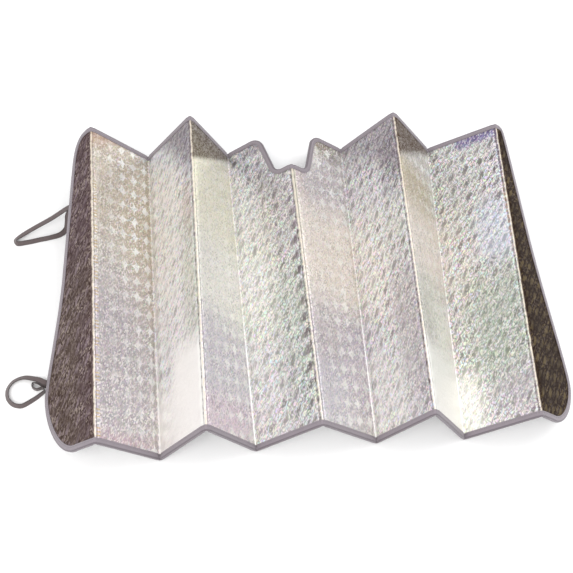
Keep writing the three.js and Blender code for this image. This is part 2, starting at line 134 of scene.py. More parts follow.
@dataclass
class FoldedPattern:
    """The flat pattern of the sheet, and how it is folded. All its sizes are those of the part's source."""

    panel: float = 0.145
    height: float = 0.617
    film: float = 0.004
    crease_film: float = 0.0015
    land: float = 0.004
    ramp: float = 0.003
    bend_radius: float = 0.00245
    bottom_bow: float = 0.0064
    top_bow: float = 0.0126
    ridges_bottom: tuple[float, ...] = (81, 64, 87, 62, 95)
    ridges_top: tuple[float, ...] = (75, 58, 102, 71, 110)
    valleys_bottom: tuple[float, ...] = (0, 0.003, 0.0015, 0)
    valleys_top: tuple[float, ...] = (0.009, 0, 0.003, 0.003)
    left_slope: float = 50
    right_slope: float = 46
    seat: tuple[float, float, float] = (0.0282299, 0.0032777, 0.0020638)

    def __post_init__(self) -> None:
        """Works out the corners of the section at both ends of the creases."""
        self.outer = (len(self.ridges_bottom) + len(self.valleys_bottom) - 1) // 2
        self.outer_u = self.outer * self.panel
        self.low_corners = self.zigzag(self.ridges_bottom, self.valleys_bottom)
        self.high_corners = self.zigzag(self.ridges_top, self.valleys_top)

    def zigzag(self, ridges: Sequence[float], valleys: Sequence[float]) -> list[tuple[float, float]]:
        """Corners of the section at one end of the creases.

        Args:
            ridges: angle between the two panels at each ridge, in degrees.
            valleys: height of each valley.

        Returns:
            The corners as (x, z), from the left end to the right, with the centre crease at x = 0.
        """
        heights: list[float] = []
        for index, angle in enumerate(ridges):
            heights.append(self.panel * math.cos(math.radians(angle / 2)))
            heights.extend(valleys[index:index + 1])
        across = [0.0]
        for before, here in zip(heights, heights[1:]):
            across.append(across[-1] + math.sqrt(self.panel ** 2 - (here - before) ** 2))
        centre = across[self.outer]
        corners = [(x - centre, z) for x, z in zip(across, heights)]
        left = math.pi + math.radians(self.left_slope)
        right = -math.radians(self.right_slope)
        first = (corners[0][0] + self.panel * math.cos(left), corners[0][1] + self.panel * math.sin(left))
        last = (corners[-1][0] + self.panel * math.cos(right), corners[-1][1] + self.panel * math.sin(right))
        return [first, *corners, last]

    def corner(self, index: int, share: float) -> tuple[float, float]:
        """One corner of the section at a share of the way up the creases."""
        low = self.low_corners[index]
        high = self.high_corners[index]
        return lerp(low[0], high[0], share), lerp(low[1], high[1], share)

    def bend_at(self, index: int, share: float) -> Bend:
        """The bend at a corner of the section. The two outer ends of the sheet have none."""
        if index in (0, len(self.low_corners) - 1):
            return Bend()
        before = self.corner(index - 1, share)
        here = self.corner(index, share)
        after = self.corner(index + 1, share)
        entry = math.atan2(here[1] - before[1], here[0] - before[0])
        leave = math.atan2(after[1] - here[1], after[0] - here[0])
        half = abs(leave - entry) / 2
        return Bend(entry, leave, self.bend_radius * half, self.bend_radius * math.tan(half))

    def nearest_crease(self, u: float) -> int:
        """The crease nearest to u, counted from the centre crease."""
        return int(clamp(math.floor(u / self.panel + 0.5), -self.outer, self.outer))

    def fold(self, u: float, v: float, t: float = 0.0) -> Vector:
        """A flat point, folded.

        Args:
            u: place across the sheet.
            v: place along the creases.
            t: height over the middle of the film.

        Returns:
            The point in the frame.
        """
        share = v / self.height + 0.5
        crease = self.nearest_crease(u)
        index = crease + self.outer + 1
        bend = self.bend_at(index, share)
        x, z = self.corner(index, share)
        offset = u - crease * self.panel
        if abs(offset) <= bend.arc:
            angle = lerp(bend.entry, bend.exit, (offset + bend.arc) / (2 * bend.arc))
            reach = math.copysign(self.bend_radius, bend.exit - bend.entry)
            x += -math.cos(bend.entry) * bend.tangent - math.sin(bend.entry) * reach + math.sin(angle) * reach
            z += -math.sin(bend.entry) * bend.tangent + math.cos(bend.entry) * reach - math.cos(angle) * reach
        else:
            side = 1 if offset > 0 else -1
            beyond = self.bend_at(index + side, share)
            far = self.corner(index + side, share)
            straight = math.dist((x, z), far) - bend.tangent - beyond.tangent
            stretch = straight / (self.panel - bend.arc - beyond.arc)
            distance = side * (bend.tangent + (abs(offset) - bend.arc) * stretch)
            angle = bend.exit if side > 0 else bend.entry
            x += math.cos(angle) * distance
            z += math.sin(angle) * distance
        return Vector((x - math.sin(angle) * t, v, z + math.cos(angle) * t)) + Vector(self.seat)

    def half_film(self, u: float, spread: float = 0.0) -> float:
        """Half the thickness of the sheet at u, with the pressed land made wider by spread."""
        to_crease = abs(u - self.nearest_crease(u) * self.panel)
        share = clamp((to_crease - self.land - spread) / self.ramp)
        return lerp(self.crease_film, self.film, share) / 2

    def bottom_edge(self, u: float) -> float:
        """Height of the bottom edge at u."""
        return -self.height / 2 - self.bottom_bow * (u / self.outer_u) ** 2

    def top_edge(self, u: float) -> float:
        """Height of the top edge at u, with no notch in it."""
        return self.height / 2 - self.top_bow * (u / self.outer_u) ** 2


@dataclass(frozen=True)
class EndShape:
    """Outline of an end panel.

    Widths are from the outer crease, rises from the bottom edge and drops from the top edge.
    """

    foot_trim: float
    foot_start: float
    foot_lift: float
    foot_rise: float
    waist_width: float
    waist_rise: float
    shoulder_width: float
    shoulder_drop: float
    corner: float = 0.016
    sole: float = 0.5
    toe: float = 0.42
    flank_start: float = 0.14
    flank_flare: float = 0.38
    shoulder_lift: float = 0.67
    shoulder_top: float = 0.5


LEFT_END = EndShape(0.002, 0.050, 0.004, 0.122, 0.090, 0.331, 0.057, 0.057)
RIGHT_END = EndShape(0.011, 0.044, 0.001, 0.092, 0.066, 0.372, 0.038, 0.069)


@dataclass
class Outline:
    """The outline of the bound sheet, run anticlockwise, with the sheet on its left."""

    pattern: FoldedPattern
    notch_depth: float = 0.098
    notch_floor: float = 0.035
    notch_mouth: float = 0.065
    floor_radius: float = 0.020
    mouth_radius: float = 0.030
    step: float = 0.006
    notch_clear: float = 0.005

    def __post_init__(self) -> None:
        """Draws the outline."""
        self.places = self.draw()

    def curve(self, points: Sequence[Vector]) -> list[Place]:
        """A cubic curve through its two end points, without the last one.

        Args:
            points: first end, two handles, last end.

        Returns:
            Places about one step apart.
        """
        a, b, c, d = points
        count = max(2, math.ceil((d - a).length / self.step))
        stretch = []
        for index in range(count):
            s = index / count
            r = 1 - s
            point = a * r ** 3 + b * (3 * r * r * s) + c * (3 * r * s * s) + d * s ** 3
            tangent = ((b - a) * (r * r) + (c - b) * (2 * r * s) + (d - c) * (s * s)).normalized()
            stretch.append(Place(point, Vector((-tangent.y, tangent.x))))
        return stretch

    def end(self, shape: EndShape, side: Side) -> list[Place]:
        """Outline of an end panel: foot, flank, waist and shoulder.

        Args:
            shape: its sizes.
            side: the left or the right end, which mirrors it.

        Returns:
            Its places in the outline's order.
        """
        pattern = self.pattern
        low = pattern.bottom_edge(pattern.outer_u)
        high = pattern.top_edge(pattern.outer_u)
        reach = pattern.panel - shape.foot_trim
        foot_v = low + shape.foot_rise
        waist_v = low + shape.waist_rise
        shoulder_v = high - shape.shoulder_drop
        corner_v = pattern.top_edge(pattern.outer_u + shape.corner)
        slant = (shape.waist_width - shape.shoulder_width) / (shoulder_v - waist_v)
        flare = (waist_v - foot_v) * shape.flank_flare
        lift = shape.shoulder_drop * shape.shoulder_lift

        def at(width: float, v: float) -> Vector:
            """A point at a width from the outer crease."""
            return Vector((side.value * (pattern.outer_u + width), v))

        foot = [
            at(shape.foot_start, low + shape.foot_lift),
            at(lerp(shape.foot_start, reach, shape.sole), low + shape.foot_lift),
            at(reach, lerp(foot_v, low, shape.toe)),
            at(reach, foot_v),
        ]
        flank = [
            foot[3],
            at(reach, lerp(foot_v, waist_v, shape.flank_start)),
            at(shape.waist_width + flare * slant, waist_v - flare),
            at(shape.waist_width, waist_v),
        ]
        top = at(shape.shoulder_width, shoulder_v)
        waist = [flank[3], flank[3].lerp(top, 1 / 3), flank[3].lerp(top, 2 / 3), top]
        shoulder = [
            top,
            at(shape.shoulder_width - lift * slant, shoulder_v + lift),
            at(lerp(shape.corner, shape.shoulder_width, shape.shoulder_top), corner_v),
            at(shape.corner, corner_v),
        ]
        stretch = [place for part in (foot, flank, waist, shoulder) for place in self.curve(part)]
        if side is Side.LEFT:
            stretch = [Place(place.point, -place.inwards) for place in reversed(stretch)]
        return stretch

    def fillet(self, before: Vector, corner: Vector, after: Vector, radius: float) -> list[Place]:
        """A round corner of the notch.

        Args:
            before: a point on the line that comes in.
            corner: the sharp corner.
            after: a point on the line that goes out.
            radius: its radius.

        Returns:
            The places along its arc.
        """
        back = (before - corner).normalized()
        ahead = (after - corner).normalized()
        half = math.acos(back.dot(ahead)) / 2
        centre = corner + (back + ahead).normalized() * (radius / math.sin(half))
        arm = corner + back * (radius / math.tan(half)) - centre
        sweep = math.pi - 2 * half
        turn = -math.copysign(1, back.x * ahead.y - back.y * ahead.x)
        count = max(3, math.ceil(radius * sweep / (self.step / 2)))
        stretch = []
        for index in range(count + 1):
            angle = turn * sweep * index / count
            spoke = Vector((
                arm.x * math.cos(angle) - arm.y * math.sin(angle),
                arm.x * math.sin(angle) + arm.y * math.cos(angle),
            ))
            stretch.append(Place(centre + spoke, -spoke.normalized() * turn))
        return stretch

    def notch(self) -> list[Place]:
        """The mirror notch, run from right to left."""
        high = self.pattern.height / 2
        floor = high - self.notch_depth
        path = [Vector(pair) for pair in (
            (self.pattern.panel, high),
            (self.notch_mouth, high),
            (self.notch_floor, floor),
            (-self.notch_floor, floor),
            (-self.notch_mouth, high),
            (-self.pattern.panel, high),
        )]
        radii = (self.mouth_radius, self.floor_radius, self.floor_radius, self.mouth_radius)
        corners = [self.fillet(*path[i:i + 3], radius) for i, radius in enumerate(radii)]
        middle = [Place(Vector((u, floor)), Vector((0, -1))) for u in reversed(self.crease_stations(0))]
        return [*corners[0], *corners[1], *middle, *corners[2], *corners[3]]

    def crease_stations(self, crease: int) -> list[float]:
        """Places across the sheet where a crease needs a line of points."""
        pattern = self.pattern
        mean_ridge = sum(pattern.ridges_bottom) / len(pattern.ridges_bottom)
        arc = pattern.bend_radius * math.radians(HALF_TURN - mean_ridge) / 2
        steps = [arc / 2, arc, pattern.land, pattern.land + pattern.ramp / 2, pattern.land + pattern.ramp]
        offsets = [-step for step in reversed(steps)] + [0.0] + steps
        return [crease * pattern.panel + offset for offset in offsets]

    def stations(self) -> list[float]:
        """All lines of points across the sheet between the two outer creases."""
        pattern = self.pattern
        across: list[float] = []
        for crease in range(-pattern.outer, pattern.outer + 1):
            across += self.crease_stations(crease)
            if crease < pattern.outer:
                start = across[-1]
                end = self.crease_stations(crease + 1)[0]
                count = math.ceil((end - start) / self.step)
                across += [lerp(start, end, i / count) for i in range(1, count)]
        return across

    def draw(self) -> list[Place]:
        """The whole outline: bottom edge, right end, top edge with its notch, left end."""
        pattern = self.pattern
        stations = self.stations()
        notch = self.notch()
        limit = notch[0].point.x + self.notch_clear
        bottom = [Place(Vector((u, pattern.bottom_edge(u))), Vector((0, 1))) for u in stations]
        top = [Place(Vector((u, pattern.top_edge(u))), Vector((0, -1))) for u in reversed(stations)]
        return [
            *bottom,
            *self.end(RIGHT_END, Side.RIGHT),
            *(place for place in top if place.point.x > limit),
            *notch,
            *(place for place in top if place.point.x < -limit),
            *self.end(LEFT_END, Side.LEFT),
        ]

    def lengths(self) -> list[float]:
        """Distance along the outline of each place, and of the first place again at the end."""
        total = 0.0
        run = [total]
        for here, there in zip(self.places, [*self.places[1:], self.places[0]]):
            total += (there.point - here.point).length
            run.append(total)
        return run

    def at_distance(self, run: Sequence[float], distance: float) -> Place:
        """The place at a distance along the outline.

        Args:
            run: what lengths() gives.
            distance: the distance, from 0 to the last of run.

        Returns:
            The place between the two nearest ones.
        """
        low, high = 0, len(run) - 1
        while high - low > 1:
            middle = (low + high) // 2
            low, high = (middle, high) if run[middle] <= distance else (low, middle)
        share = (distance - run[low]) / max(run[high] - run[low], TINY)
        return self.places[low].blend(self.places[high % len(self.places)], share)

    def left_edge_at(self, v: float) -> Place:
        """The place on the left end's outline that lies at v."""
        run = [p for p in self.places if p.point.x < -self.pattern.outer_u - LEFT_END.corner]
        after = next(i for i, place in enumerate(run) if place.point.y <= v)
        above, below = run[after - 1], run[after]
        share = (above.point.y - v) / (above.point.y - below.point.y)
        return above.blend(below, share)


def surface(
    columns: int,
    rows: int,
    place: Callable[[int, int], Vector],
    film: Callable[[int, int], tuple[float, float]],
) -> bmesh.types.BMesh:
    """A grid whose points are put in place by their column and row.

    Args:
        columns: number of columns of points.
        rows: number of rows of points.
        place: gives the point at (column, row).
        film: gives the UV pair at (column, row).

    Returns:
        The mesh, with a UV map named film.
    """
    mesh = bmesh.new()
    bmesh.ops.create_grid(mesh, x_segments=columns - 1, y_segments=rows - 1, size=0.5)
    cells = {}
    for vertex in mesh.verts:
        column = round((vertex.co.x + 0.5) * (columns - 1))
        row = round((vertex.co.y + 0.5) * (rows - 1))
        cells[vertex] = (column, row)
    layer = mesh.loops.layers.uv.new("film")
    for face in mesh.faces:
        for loop in face.loops:
            loop[layer].uv = film(*cells[loop.vert])
    for vertex, cell in cells.items():
        vertex.co = place(*cell)
    return mesh


def weld(mesh: bmesh.types.BMesh, capped: bool = False) -> None:
    """Joins the seams of a grid that closes on itself, and turns its faces outwards.

    Args:
        mesh: the grid.
        capped: whether its open ends are filled.
    """
    bmesh.ops.remove_doubles(mesh, verts=mesh.verts[:], dist=WELD)
    if capped:
        bmesh.ops.holes_fill(mesh, edges=[edge for edge in mesh.edges if edge.is_boundary])
    bmesh.ops.recalc_face_normals(mesh, faces=mesh.faces[:])


def finish_piece(
    name: str,
    mesh: bmesh.types.BMesh,
    materials: Sequence[bpy.types.Material],
) -> bpy.types.Object:
    """Makes a piece of a finished mesh and puts it on the shade's body.

    Args:
        name: the piece's name.
        mesh: its mesh, in the frame.
        materials: its materials, in the order of its faces' material numbers.

    Returns:
        The new object.
    """
    data = bpy.data.meshes.new(name)
    mesh.to_mesh(data)
    mesh.free()
    data.shade_smooth()
    for material in materials:
        data.materials.append(material)
    piece = bpy.data.objects.new(name, data)
    bpy.context.scene.collection.objects.link(piece)
    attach(piece, BODY)
    LOG.info("%s: %d faces", name, len(data.polygons))
    return piece


class Signal:
    """A socket that carries a number, with arithmetic that adds Math nodes."""

    def __init__(self, graph: "Graph", socket: bpy.types.NodeSocket) -> None:
        """Wraps a socket of a graph."""
        self.graph = graph
        self.socket = socket

    def __add__(self, other: "Number") -> "Signal":
        """The sum."""
        return self.graph.math("ADD", self, other)

    def __radd__(self, other: "Number") -> "Signal":
        """The sum, with the socket on the right."""
        return self.graph.math("ADD", other, self)

    def __sub__(self, other: "Number") -> "Signal":
        """The difference."""
        return self.graph.math("SUBTRACT", self, other)

    def __rsub__(self, other: "Number") -> "Signal":
        """The difference, with the socket on the right."""
        return self.graph.math("SUBTRACT", other, self)

    def __mul__(self, other: "Number") -> "Signal":
        """The product."""
        return self.graph.math("MULTIPLY", self, other)

    def __rmul__(self, other: "Number") -> "Signal":
        """The product, with the socket on the right."""
        return self.graph.math("MULTIPLY", other, self)

    def __truediv__(self, other: "Number") -> "Signal":
        """The quotient."""
        return self.graph.math("DIVIDE", self, other)

    def __abs__(self) -> "Signal":
        """The value without its sign."""
        return self.graph.math("ABSOLUTE", self)

    def fract(self) -> "Signal":
        """What is left above the whole number below."""
        return self.graph.math("FRACT", self)

    def floor(self) -> "Signal":
        """The whole number below."""
        return self.graph.math("FLOOR", self)

    def sin(self) -> "Signal":
        """The sine of the value, in radians."""
        return self.graph.math("SINE", self)

    def step(self, low: float, high: float) -> "Signal":
        """A smooth step from 0 at low to 1 at high, or down where high is below low."""
        settings = {"interpolation_type": "SMOOTHSTEP"}
        inputs = {
            "Value": self,
            "From Min": min(low, high),
            "From Max": max(low, high),
            "To Min": float(low > high),
            "To Max": float(low < high),
        }
        return self.graph.node("ShaderNodeMapRange", settings, inputs, "Result")

    def band(self, at: float, reach: float, core: float) -> "Signal":
        """1 within core of a value, and down to 0 at reach from it."""
        return abs(self - at).step(reach, core)

    def near(self, target: float, reach: float = 0.5) -> "Signal":
        """1 within reach of a target, and 0 elsewhere."""
        return self.graph.math("COMPARE", self, float(target), reach)


Number = float | Signal


class Graph:
    """The node tree of one material."""

    def __init__(self, name: str) -> None:
        """Starts a material with a Principled shader.

        Args:
            name: the material's name.
        """
        self.material = bpy.data.materials.new(name)
        self.material.use_nodes = True
        self.tree = self.material.node_tree
        self.shader = next(n for n in self.tree.nodes if n.type == "BSDF_PRINCIPLED")

    def connect(self, target: bpy.types.NodeSocket, value: object) -> None:
        """Links a signal or a socket to a target, or sets the target's own value."""
        if isinstance(value, Signal):
            self.tree.links.new(value.socket, target)
        elif isinstance(value, bpy.types.NodeSocket):
            self.tree.links.new(value, target)
        elif isinstance(value, tuple) and len(value) == 3 and target.type == "RGBA":
            target.default_value = (*value, 1.0)
        else:
            target.default_value = value

    def node(
        self,
        kind: str,
        settings: dict[str, object],
        inputs: dict[str | int, object],
        output: str | int,
    ) -> Signal:
        """Adds a node.

        Args:
            kind: the node's type.
            settings: its settings, which are set first.
            inputs: values or links of its sockets, by name or number.
            output: name or number of the output to give back.

        Returns:
            The output, as a signal.
        """
        added = self.tree.nodes.new(kind)
        for key, value in settings.items():
            setattr(added, key, value)
        for key, value in inputs.items():
            self.connect(added.inputs[key], value)
        return Signal(self, added.outputs[output])

    def math(self, operation: str, *values: Number) -> Signal:
        """A Math node on up to three numbers."""
        return self.node("ShaderNodeMath", {"operation": operation}, dict(enumerate(values)), 0)

    def radius(self, x: Signal, y: Signal) -> Signal:
        """The distance of (x, y) from the middle."""
        return self.math("SQRT", x * x + y * y)

    def mix(self, base: object, other: object, factor: Number) -> Signal:
        """One colour mixed over another by a factor."""
        settings = {"data_type": "RGBA", "clamp_factor": True}
        return self.node("ShaderNodeMix", settings, {0: factor, 6: base, 7: other}, 2)

    def hue(self, hue: Number, saturation: Number, value: Number) -> Signal:
        """A colour from its hue, saturation and value."""
        inputs = {0: hue, 1: saturation, 2: value}
        return self.node("ShaderNodeCombineColor", {"mode": "HSV"}, inputs, 0)

    def vector(self, x: Number, y: Number, z: Number = 0.0) -> Signal:
        """A vector from its parts."""
        return self.node("ShaderNodeCombineXYZ", {}, {0: x, 1: y, 2: z}, 0)

    def ramp(self, value: Signal, colours: Sequence[Colour]) -> Signal:
        """One of a row of colours, each with an equal share of the way from 0 to 1."""
        stops = self.node("ShaderNodeValToRGB", {}, {0: value}, 0)
        band = stops.socket.node.color_ramp
        band.interpolation = "CONSTANT"
        for index, colour in enumerate(colours):
            element = band.elements[index] if index < 2 else band.elements.new(index / len(colours))
            element.position = index / len(colours)
            element.color = (*colour, 1.0)
        return stops

    def cells(self, where: Signal, scale: float) -> Signal:
        """A random colour for each small cell round a place."""
        inputs = {"Vector": where, "Scale": scale}
        return self.node("ShaderNodeTexVoronoi", {"voronoi_dimensions": "2D"}, inputs, "Color")

    def red(self, colour: Signal) -> Signal:
        """The red part of a colour."""
        return self.node("ShaderNodeSeparateColor", {}, {0: colour}, 0)

    def noise(self, where: Signal, scale: float, detail: float = 2.0) -> Signal:
        """Soft noise from 0 to 1 at a place."""
        inputs = {"Vector": where, "Scale": scale, "Detail": detail}
        return self.node("ShaderNodeTexNoise", {}, inputs, 0)

    def uv(self) -> tuple[Signal, Signal]:
        """The two coordinates of the piece's UV map, in metres."""
        pair = self.node("ShaderNodeUVMap", {"uv_map": "film"}, {}, 0)
        split = self.node("ShaderNodeSeparateXYZ", {}, {0: pair}, 0)
        return split, Signal(self, split.socket.node.outputs[1])

    def bump(self, height: Signal, distance: float, strength: float = 1.0) -> None:
        """Feeds a height to the shader's normal.

        Args:
            height: from 0 to 1.
            distance: the height in metres of a value of 1.
            strength: the share of the effect.
        """
        inputs = {"Strength": strength, "Distance": distance, "Height": height}
        self.feed({"Normal": self.node("ShaderNodeBump", {}, inputs, 0)})

    def feed(self, inputs: dict[str, object]) -> None:
        """Sets or links sockets of the shader."""
        for key, value in inputs.items():
            self.connect(self.shader.inputs[key], value)


class ReflectedTint(Enum):
    """The colours of the light and the room that the film reflects, painted in, as they look on a screen."""

    LEMON = (242, 240, 214)
    OCHRE = (190, 176, 134)
    OLIVE = (112, 100, 70)
    ROSE = (222, 202, 213)
    BLUSH = (214, 148, 164)
    PEACH = (236, 226, 212)
    LILAC = (204, 197, 211)
    VIOLET = (112, 96, 150)
    SKY = (214, 220, 236)
    JADE = (164, 174, 158)
    SAGE = (212, 214, 200)
    WHITE = (255, 254, 250)
    CREAM = (246, 246, 234)
    MAUVE = (178, 170, 174)
    TAUPE = (192, 178, 170)
    RUST = (158, 116, 90)
    UMBER = (66, 46, 30)
    PLUM = (78, 60, 66)
    SLATE = (100, 90, 98)

    @property
    def colour(self) -> Colour:
        """The tint, as a shader takes it."""
        return paint(*self.value)


@dataclass(frozen=True)
class ReflectionField:
    """A soft field of painted reflection on one panel; a white one is a painted highlight, blown out.

    Args:
        panel: the panel, counted from 1 at the left end.
        across: its middle, from 0 at the panel's left crease to 1 at its right one.
        along: its middle, from 0 at the bottom edge to 1 at the top edge.
        width: how far it reaches across to each side, in panel widths.
        length: how far it reaches along to each side, in sheet heights.
        tint: its colour.
        strength: how much of the film's own colour it takes over.
        veil: how much of the film's repeat it hides.
        core: the share of its reach that keeps its full strength.
    """

    panel: int
    across: float
    along: float
    width: float
    length: float
    tint: ReflectedTint
    strength: float
    veil: float = 0.0
    core: float = 0.3


# Painted reflections of the room on each panel, and painted blown-out highlights where they are white.
REFLECTION_FIELDS = (
    ReflectionField(1, 0.6, 0.80, 1.0, 0.42, ReflectedTint.PLUM, 0.8),
    ReflectionField(1, 0.9, 0.20, 0.3, 0.30, ReflectedTint.PLUM, 0.6),
    ReflectionField(2, 0.5, 0.82, 1.0, 0.32, ReflectedTint.OCHRE, 0.7),
    ReflectionField(2, 0.85, 0.62, 0.5, 0.40, ReflectedTint.OCHRE, 0.6),
    ReflectionField(2, 0.25, 0.48, 0.6, 0.20, ReflectedTint.OCHRE, 0.25),
    ReflectionField(2, 0.2, 0.22, 0.9, 0.40, ReflectedTint.MAUVE, 0.8, 0.45),
    ReflectionField(2, 0.2, 0.05, 1.0, 0.16, ReflectedTint.MAUVE, 0.7, 0.4),
    ReflectionField(2, 0.35, 0.0, 0.7, 0.06, ReflectedTint.BLUSH, 0.6),
    ReflectionField(3, 0.3, 0.55, 0.8, 0.6, ReflectedTint.WHITE, 0.7, 0.35),
    ReflectionField(3, 0.92, 0.68, 0.25, 0.14, ReflectedTint.TAUPE, 0.7, 0.4),
    ReflectionField(3, 0.9, 0.42, 0.28, 0.30, ReflectedTint.SAGE, 0.9, 0.55),
    ReflectionField(3, 0.8, 0.06, 0.5, 0.26, ReflectedTint.WHITE, 1.0, 0.97, 0.6),
    ReflectionField(3, 0.3, 0.02, 0.7, 0.22, ReflectedTint.WHITE, 0.9, 0.85, 0.4),
    ReflectionField(4, 0.5, 0.76, 1.2, 0.24, ReflectedTint.LEMON, 1.0, 0.55, 0.5),
    ReflectionField(4, 0.5, 0.50, 1.2, 0.22, ReflectedTint.CREAM, 0.8, 0.4),
    ReflectionField(4, 0.4, 0.22, 1.0, 0.22, ReflectedTint.LILAC, 0.6, 0.1),
    ReflectionField(4, 0.3, 0.05, 0.9, 0.10, ReflectedTint.ROSE, 0.8, 0.2),
    ReflectionField(5, 0.2, 0.70, 0.5, 0.34, ReflectedTint.SKY, 0.6, 0.1),
    ReflectionField(5, 0.5, 0.99, 0.45, 0.07, ReflectedTint.SLATE, 0.7, 0.45),
    ReflectionField(5, 0.8, 0.76, 0.6, 0.30, ReflectedTint.MAUVE, 0.8, 0.35),
    ReflectionField(5, 0.15, 0.34, 0.6, 0.50, ReflectedTint.CREAM, 0.5, 0.2),
    ReflectionField(5, 0.85, 0.28, 0.5, 0.34, ReflectedTint.JADE, 0.6, 0.3),
    ReflectionField(6, 0.05, 0.78, 0.2, 0.10, ReflectedTint.RUST, 0.5),
    ReflectionField(6, 0.45, 1.0, 0.6, 0.10, ReflectedTint.OLIVE, 0.8, 0.5),
    ReflectionField(6, 0.3, 0.80, 1.0, 0.14, ReflectedTint.MAUVE, 0.35),
    ReflectionField(6, 0.5, 0.56, 1.2, 0.24, ReflectedTint.PEACH, 0.9, 0.4),
    ReflectionField(6, 0.4, 0.22, 1.2, 0.22, ReflectedTint.MAUVE, 0.55, 0.1),
    ReflectionField(6, 0.25, 0.10, 0.5, 0.16, ReflectedTint.SKY, 0.4),
    ReflectionField(6, 0.85, 0.20, 0.5, 0.22, ReflectedTint.LILAC, 0.6),
    ReflectionField(7, 0.3, 0.54, 0.6, 0.30, ReflectedTint.CREAM, 0.5, 0.1),
    ReflectionField(7, 0.88, 0.82, 0.3, 0.16, ReflectedTint.SLATE, 0.6, 0.3),
    ReflectionField(7, 0.82, 0.62, 0.3, 0.12, ReflectedTint.SAGE, 0.5, 0.3),
    ReflectionField(7, 0.86, 0.24, 0.42, 0.34, ReflectedTint.MAUVE, 0.95, 0.6),
    ReflectionField(7, 0.3, 0.12, 0.7, 0.22, ReflectedTint.CREAM, 0.5, 0.25),
    ReflectionField(8, 0.3, 0.74, 0.8, 0.15, ReflectedTint.OCHRE, 0.7, 0.4),
    ReflectionField(8, 0.6, 0.56, 1.2, 0.20, ReflectedTint.PEACH, 0.8, 0.5),
    ReflectionField(8, 0.3, 0.36, 0.8, 0.14, ReflectedTint.SAGE, 0.7, 0.3),
    ReflectionField(8, 0.6, 0.05, 1.4, 0.21, ReflectedTint.WHITE, 1.0, 0.95, 0.5),
    ReflectionField(8, 0.8, 0.26, 0.6, 0.18, ReflectedTint.CREAM, 0.9, 0.6),
    ReflectionField(9, 0.85, 1.0, 0.55, 0.08, ReflectedTint.VIOLET, 1.0, 0.7, 0.6),
    ReflectionField(9, 0.95, 0.84, 0.14, 0.12, ReflectedTint.VIOLET, 0.5),
    ReflectionField(9, 0.78, 0.60, 0.36, 0.15, ReflectedTint.SKY, 0.7, 0.35),
    ReflectionField(9, 0.25, 0.56, 0.4, 0.24, ReflectedTint.CREAM, 0.4),
    ReflectionField(9, 0.75, 0.30, 0.7, 0.26, ReflectedTint.JADE, 0.9, 0.5),
    ReflectionField(9, 0.8, 0.09, 0.5, 0.10, ReflectedTint.MAUVE, 0.8, 0.5),
    ReflectionField(9, 0.75, 0.03, 0.5, 0.05, ReflectedTint.MAUVE, 0.8),
    ReflectionField(9, 0.1, 0.06, 0.3, 0.16, ReflectedTint.CREAM, 0.8, 0.4),
)


@dataclass(frozen=True)
class Shade:
    """A painted dark reflection in the top corner of a panel, above a straight line: the dark surroundings
    that the panel reflects past the top of the next one.

    Args:
        panel: the panel, counted from 1 at the left end.
        left: how far down it reaches at the panel's left crease, in metres.
        right: how far down it reaches at the panel's right crease, in metres.
        softness: the width of its lower edge, in metres.
        tint: its colour.
        strength: how much of the film's own colour it takes over.
    """

    panel: int
    left: float
    right: float
    softness: float
    tint: ReflectedTint
    strength: float


# Painted dark reflections at the tops of some panels.
SHADES = (
    Shade(2, 0.055, -0.02, 0.02, ReflectedTint.RUST, 0.6),
    Shade(3, -0.03, 0.13, 0.05, ReflectedTint.SLATE, 0.88),
    Shade(4, 0.099, 0.020, 0.008, ReflectedTint.UMBER, 0.92),
    Shade(6, -0.03, 0.012, 0.016, ReflectedTint.OLIVE, 0.7),
    Shade(7, 0.02, 0.14, 0.04, ReflectedTint.SLATE, 0.72),
    Shade(8, 0.104, 0.022, 0.016, ReflectedTint.UMBER, 0.97),
)


# The painted tone of each panel, from the left end: the silver film as it reflects the light and the room at
# each panel's angle, with the two end panels painted dark for the dark surroundings they reflect.
PAINTED_PANEL_TONES = (
    paint(78, 64, 58),
    paint(192, 190, 182),
    paint(232, 240, 246),
    paint(220, 226, 220),
    paint(178, 182, 182),
    paint(206, 204, 198),
    paint(200, 201, 204),
    paint(204, 206, 194),
    paint(172, 176, 166),
    paint(26, 13, 3),
)


@dataclass(frozen=True)
class Motif:
    """Masks of the film's repeat, each from 0 to 1.

    Args:
        leaf: the large leaning leaves, one to a cell.
        bud: the small leaves between them.
        strand: the thin wavy strands between the leaves.
        star_glint: painted glints shaped like stars, in the leaves' places.
    """

    leaf: Signal
    bud: Signal
    strand: Signal
    star_glint: Signal


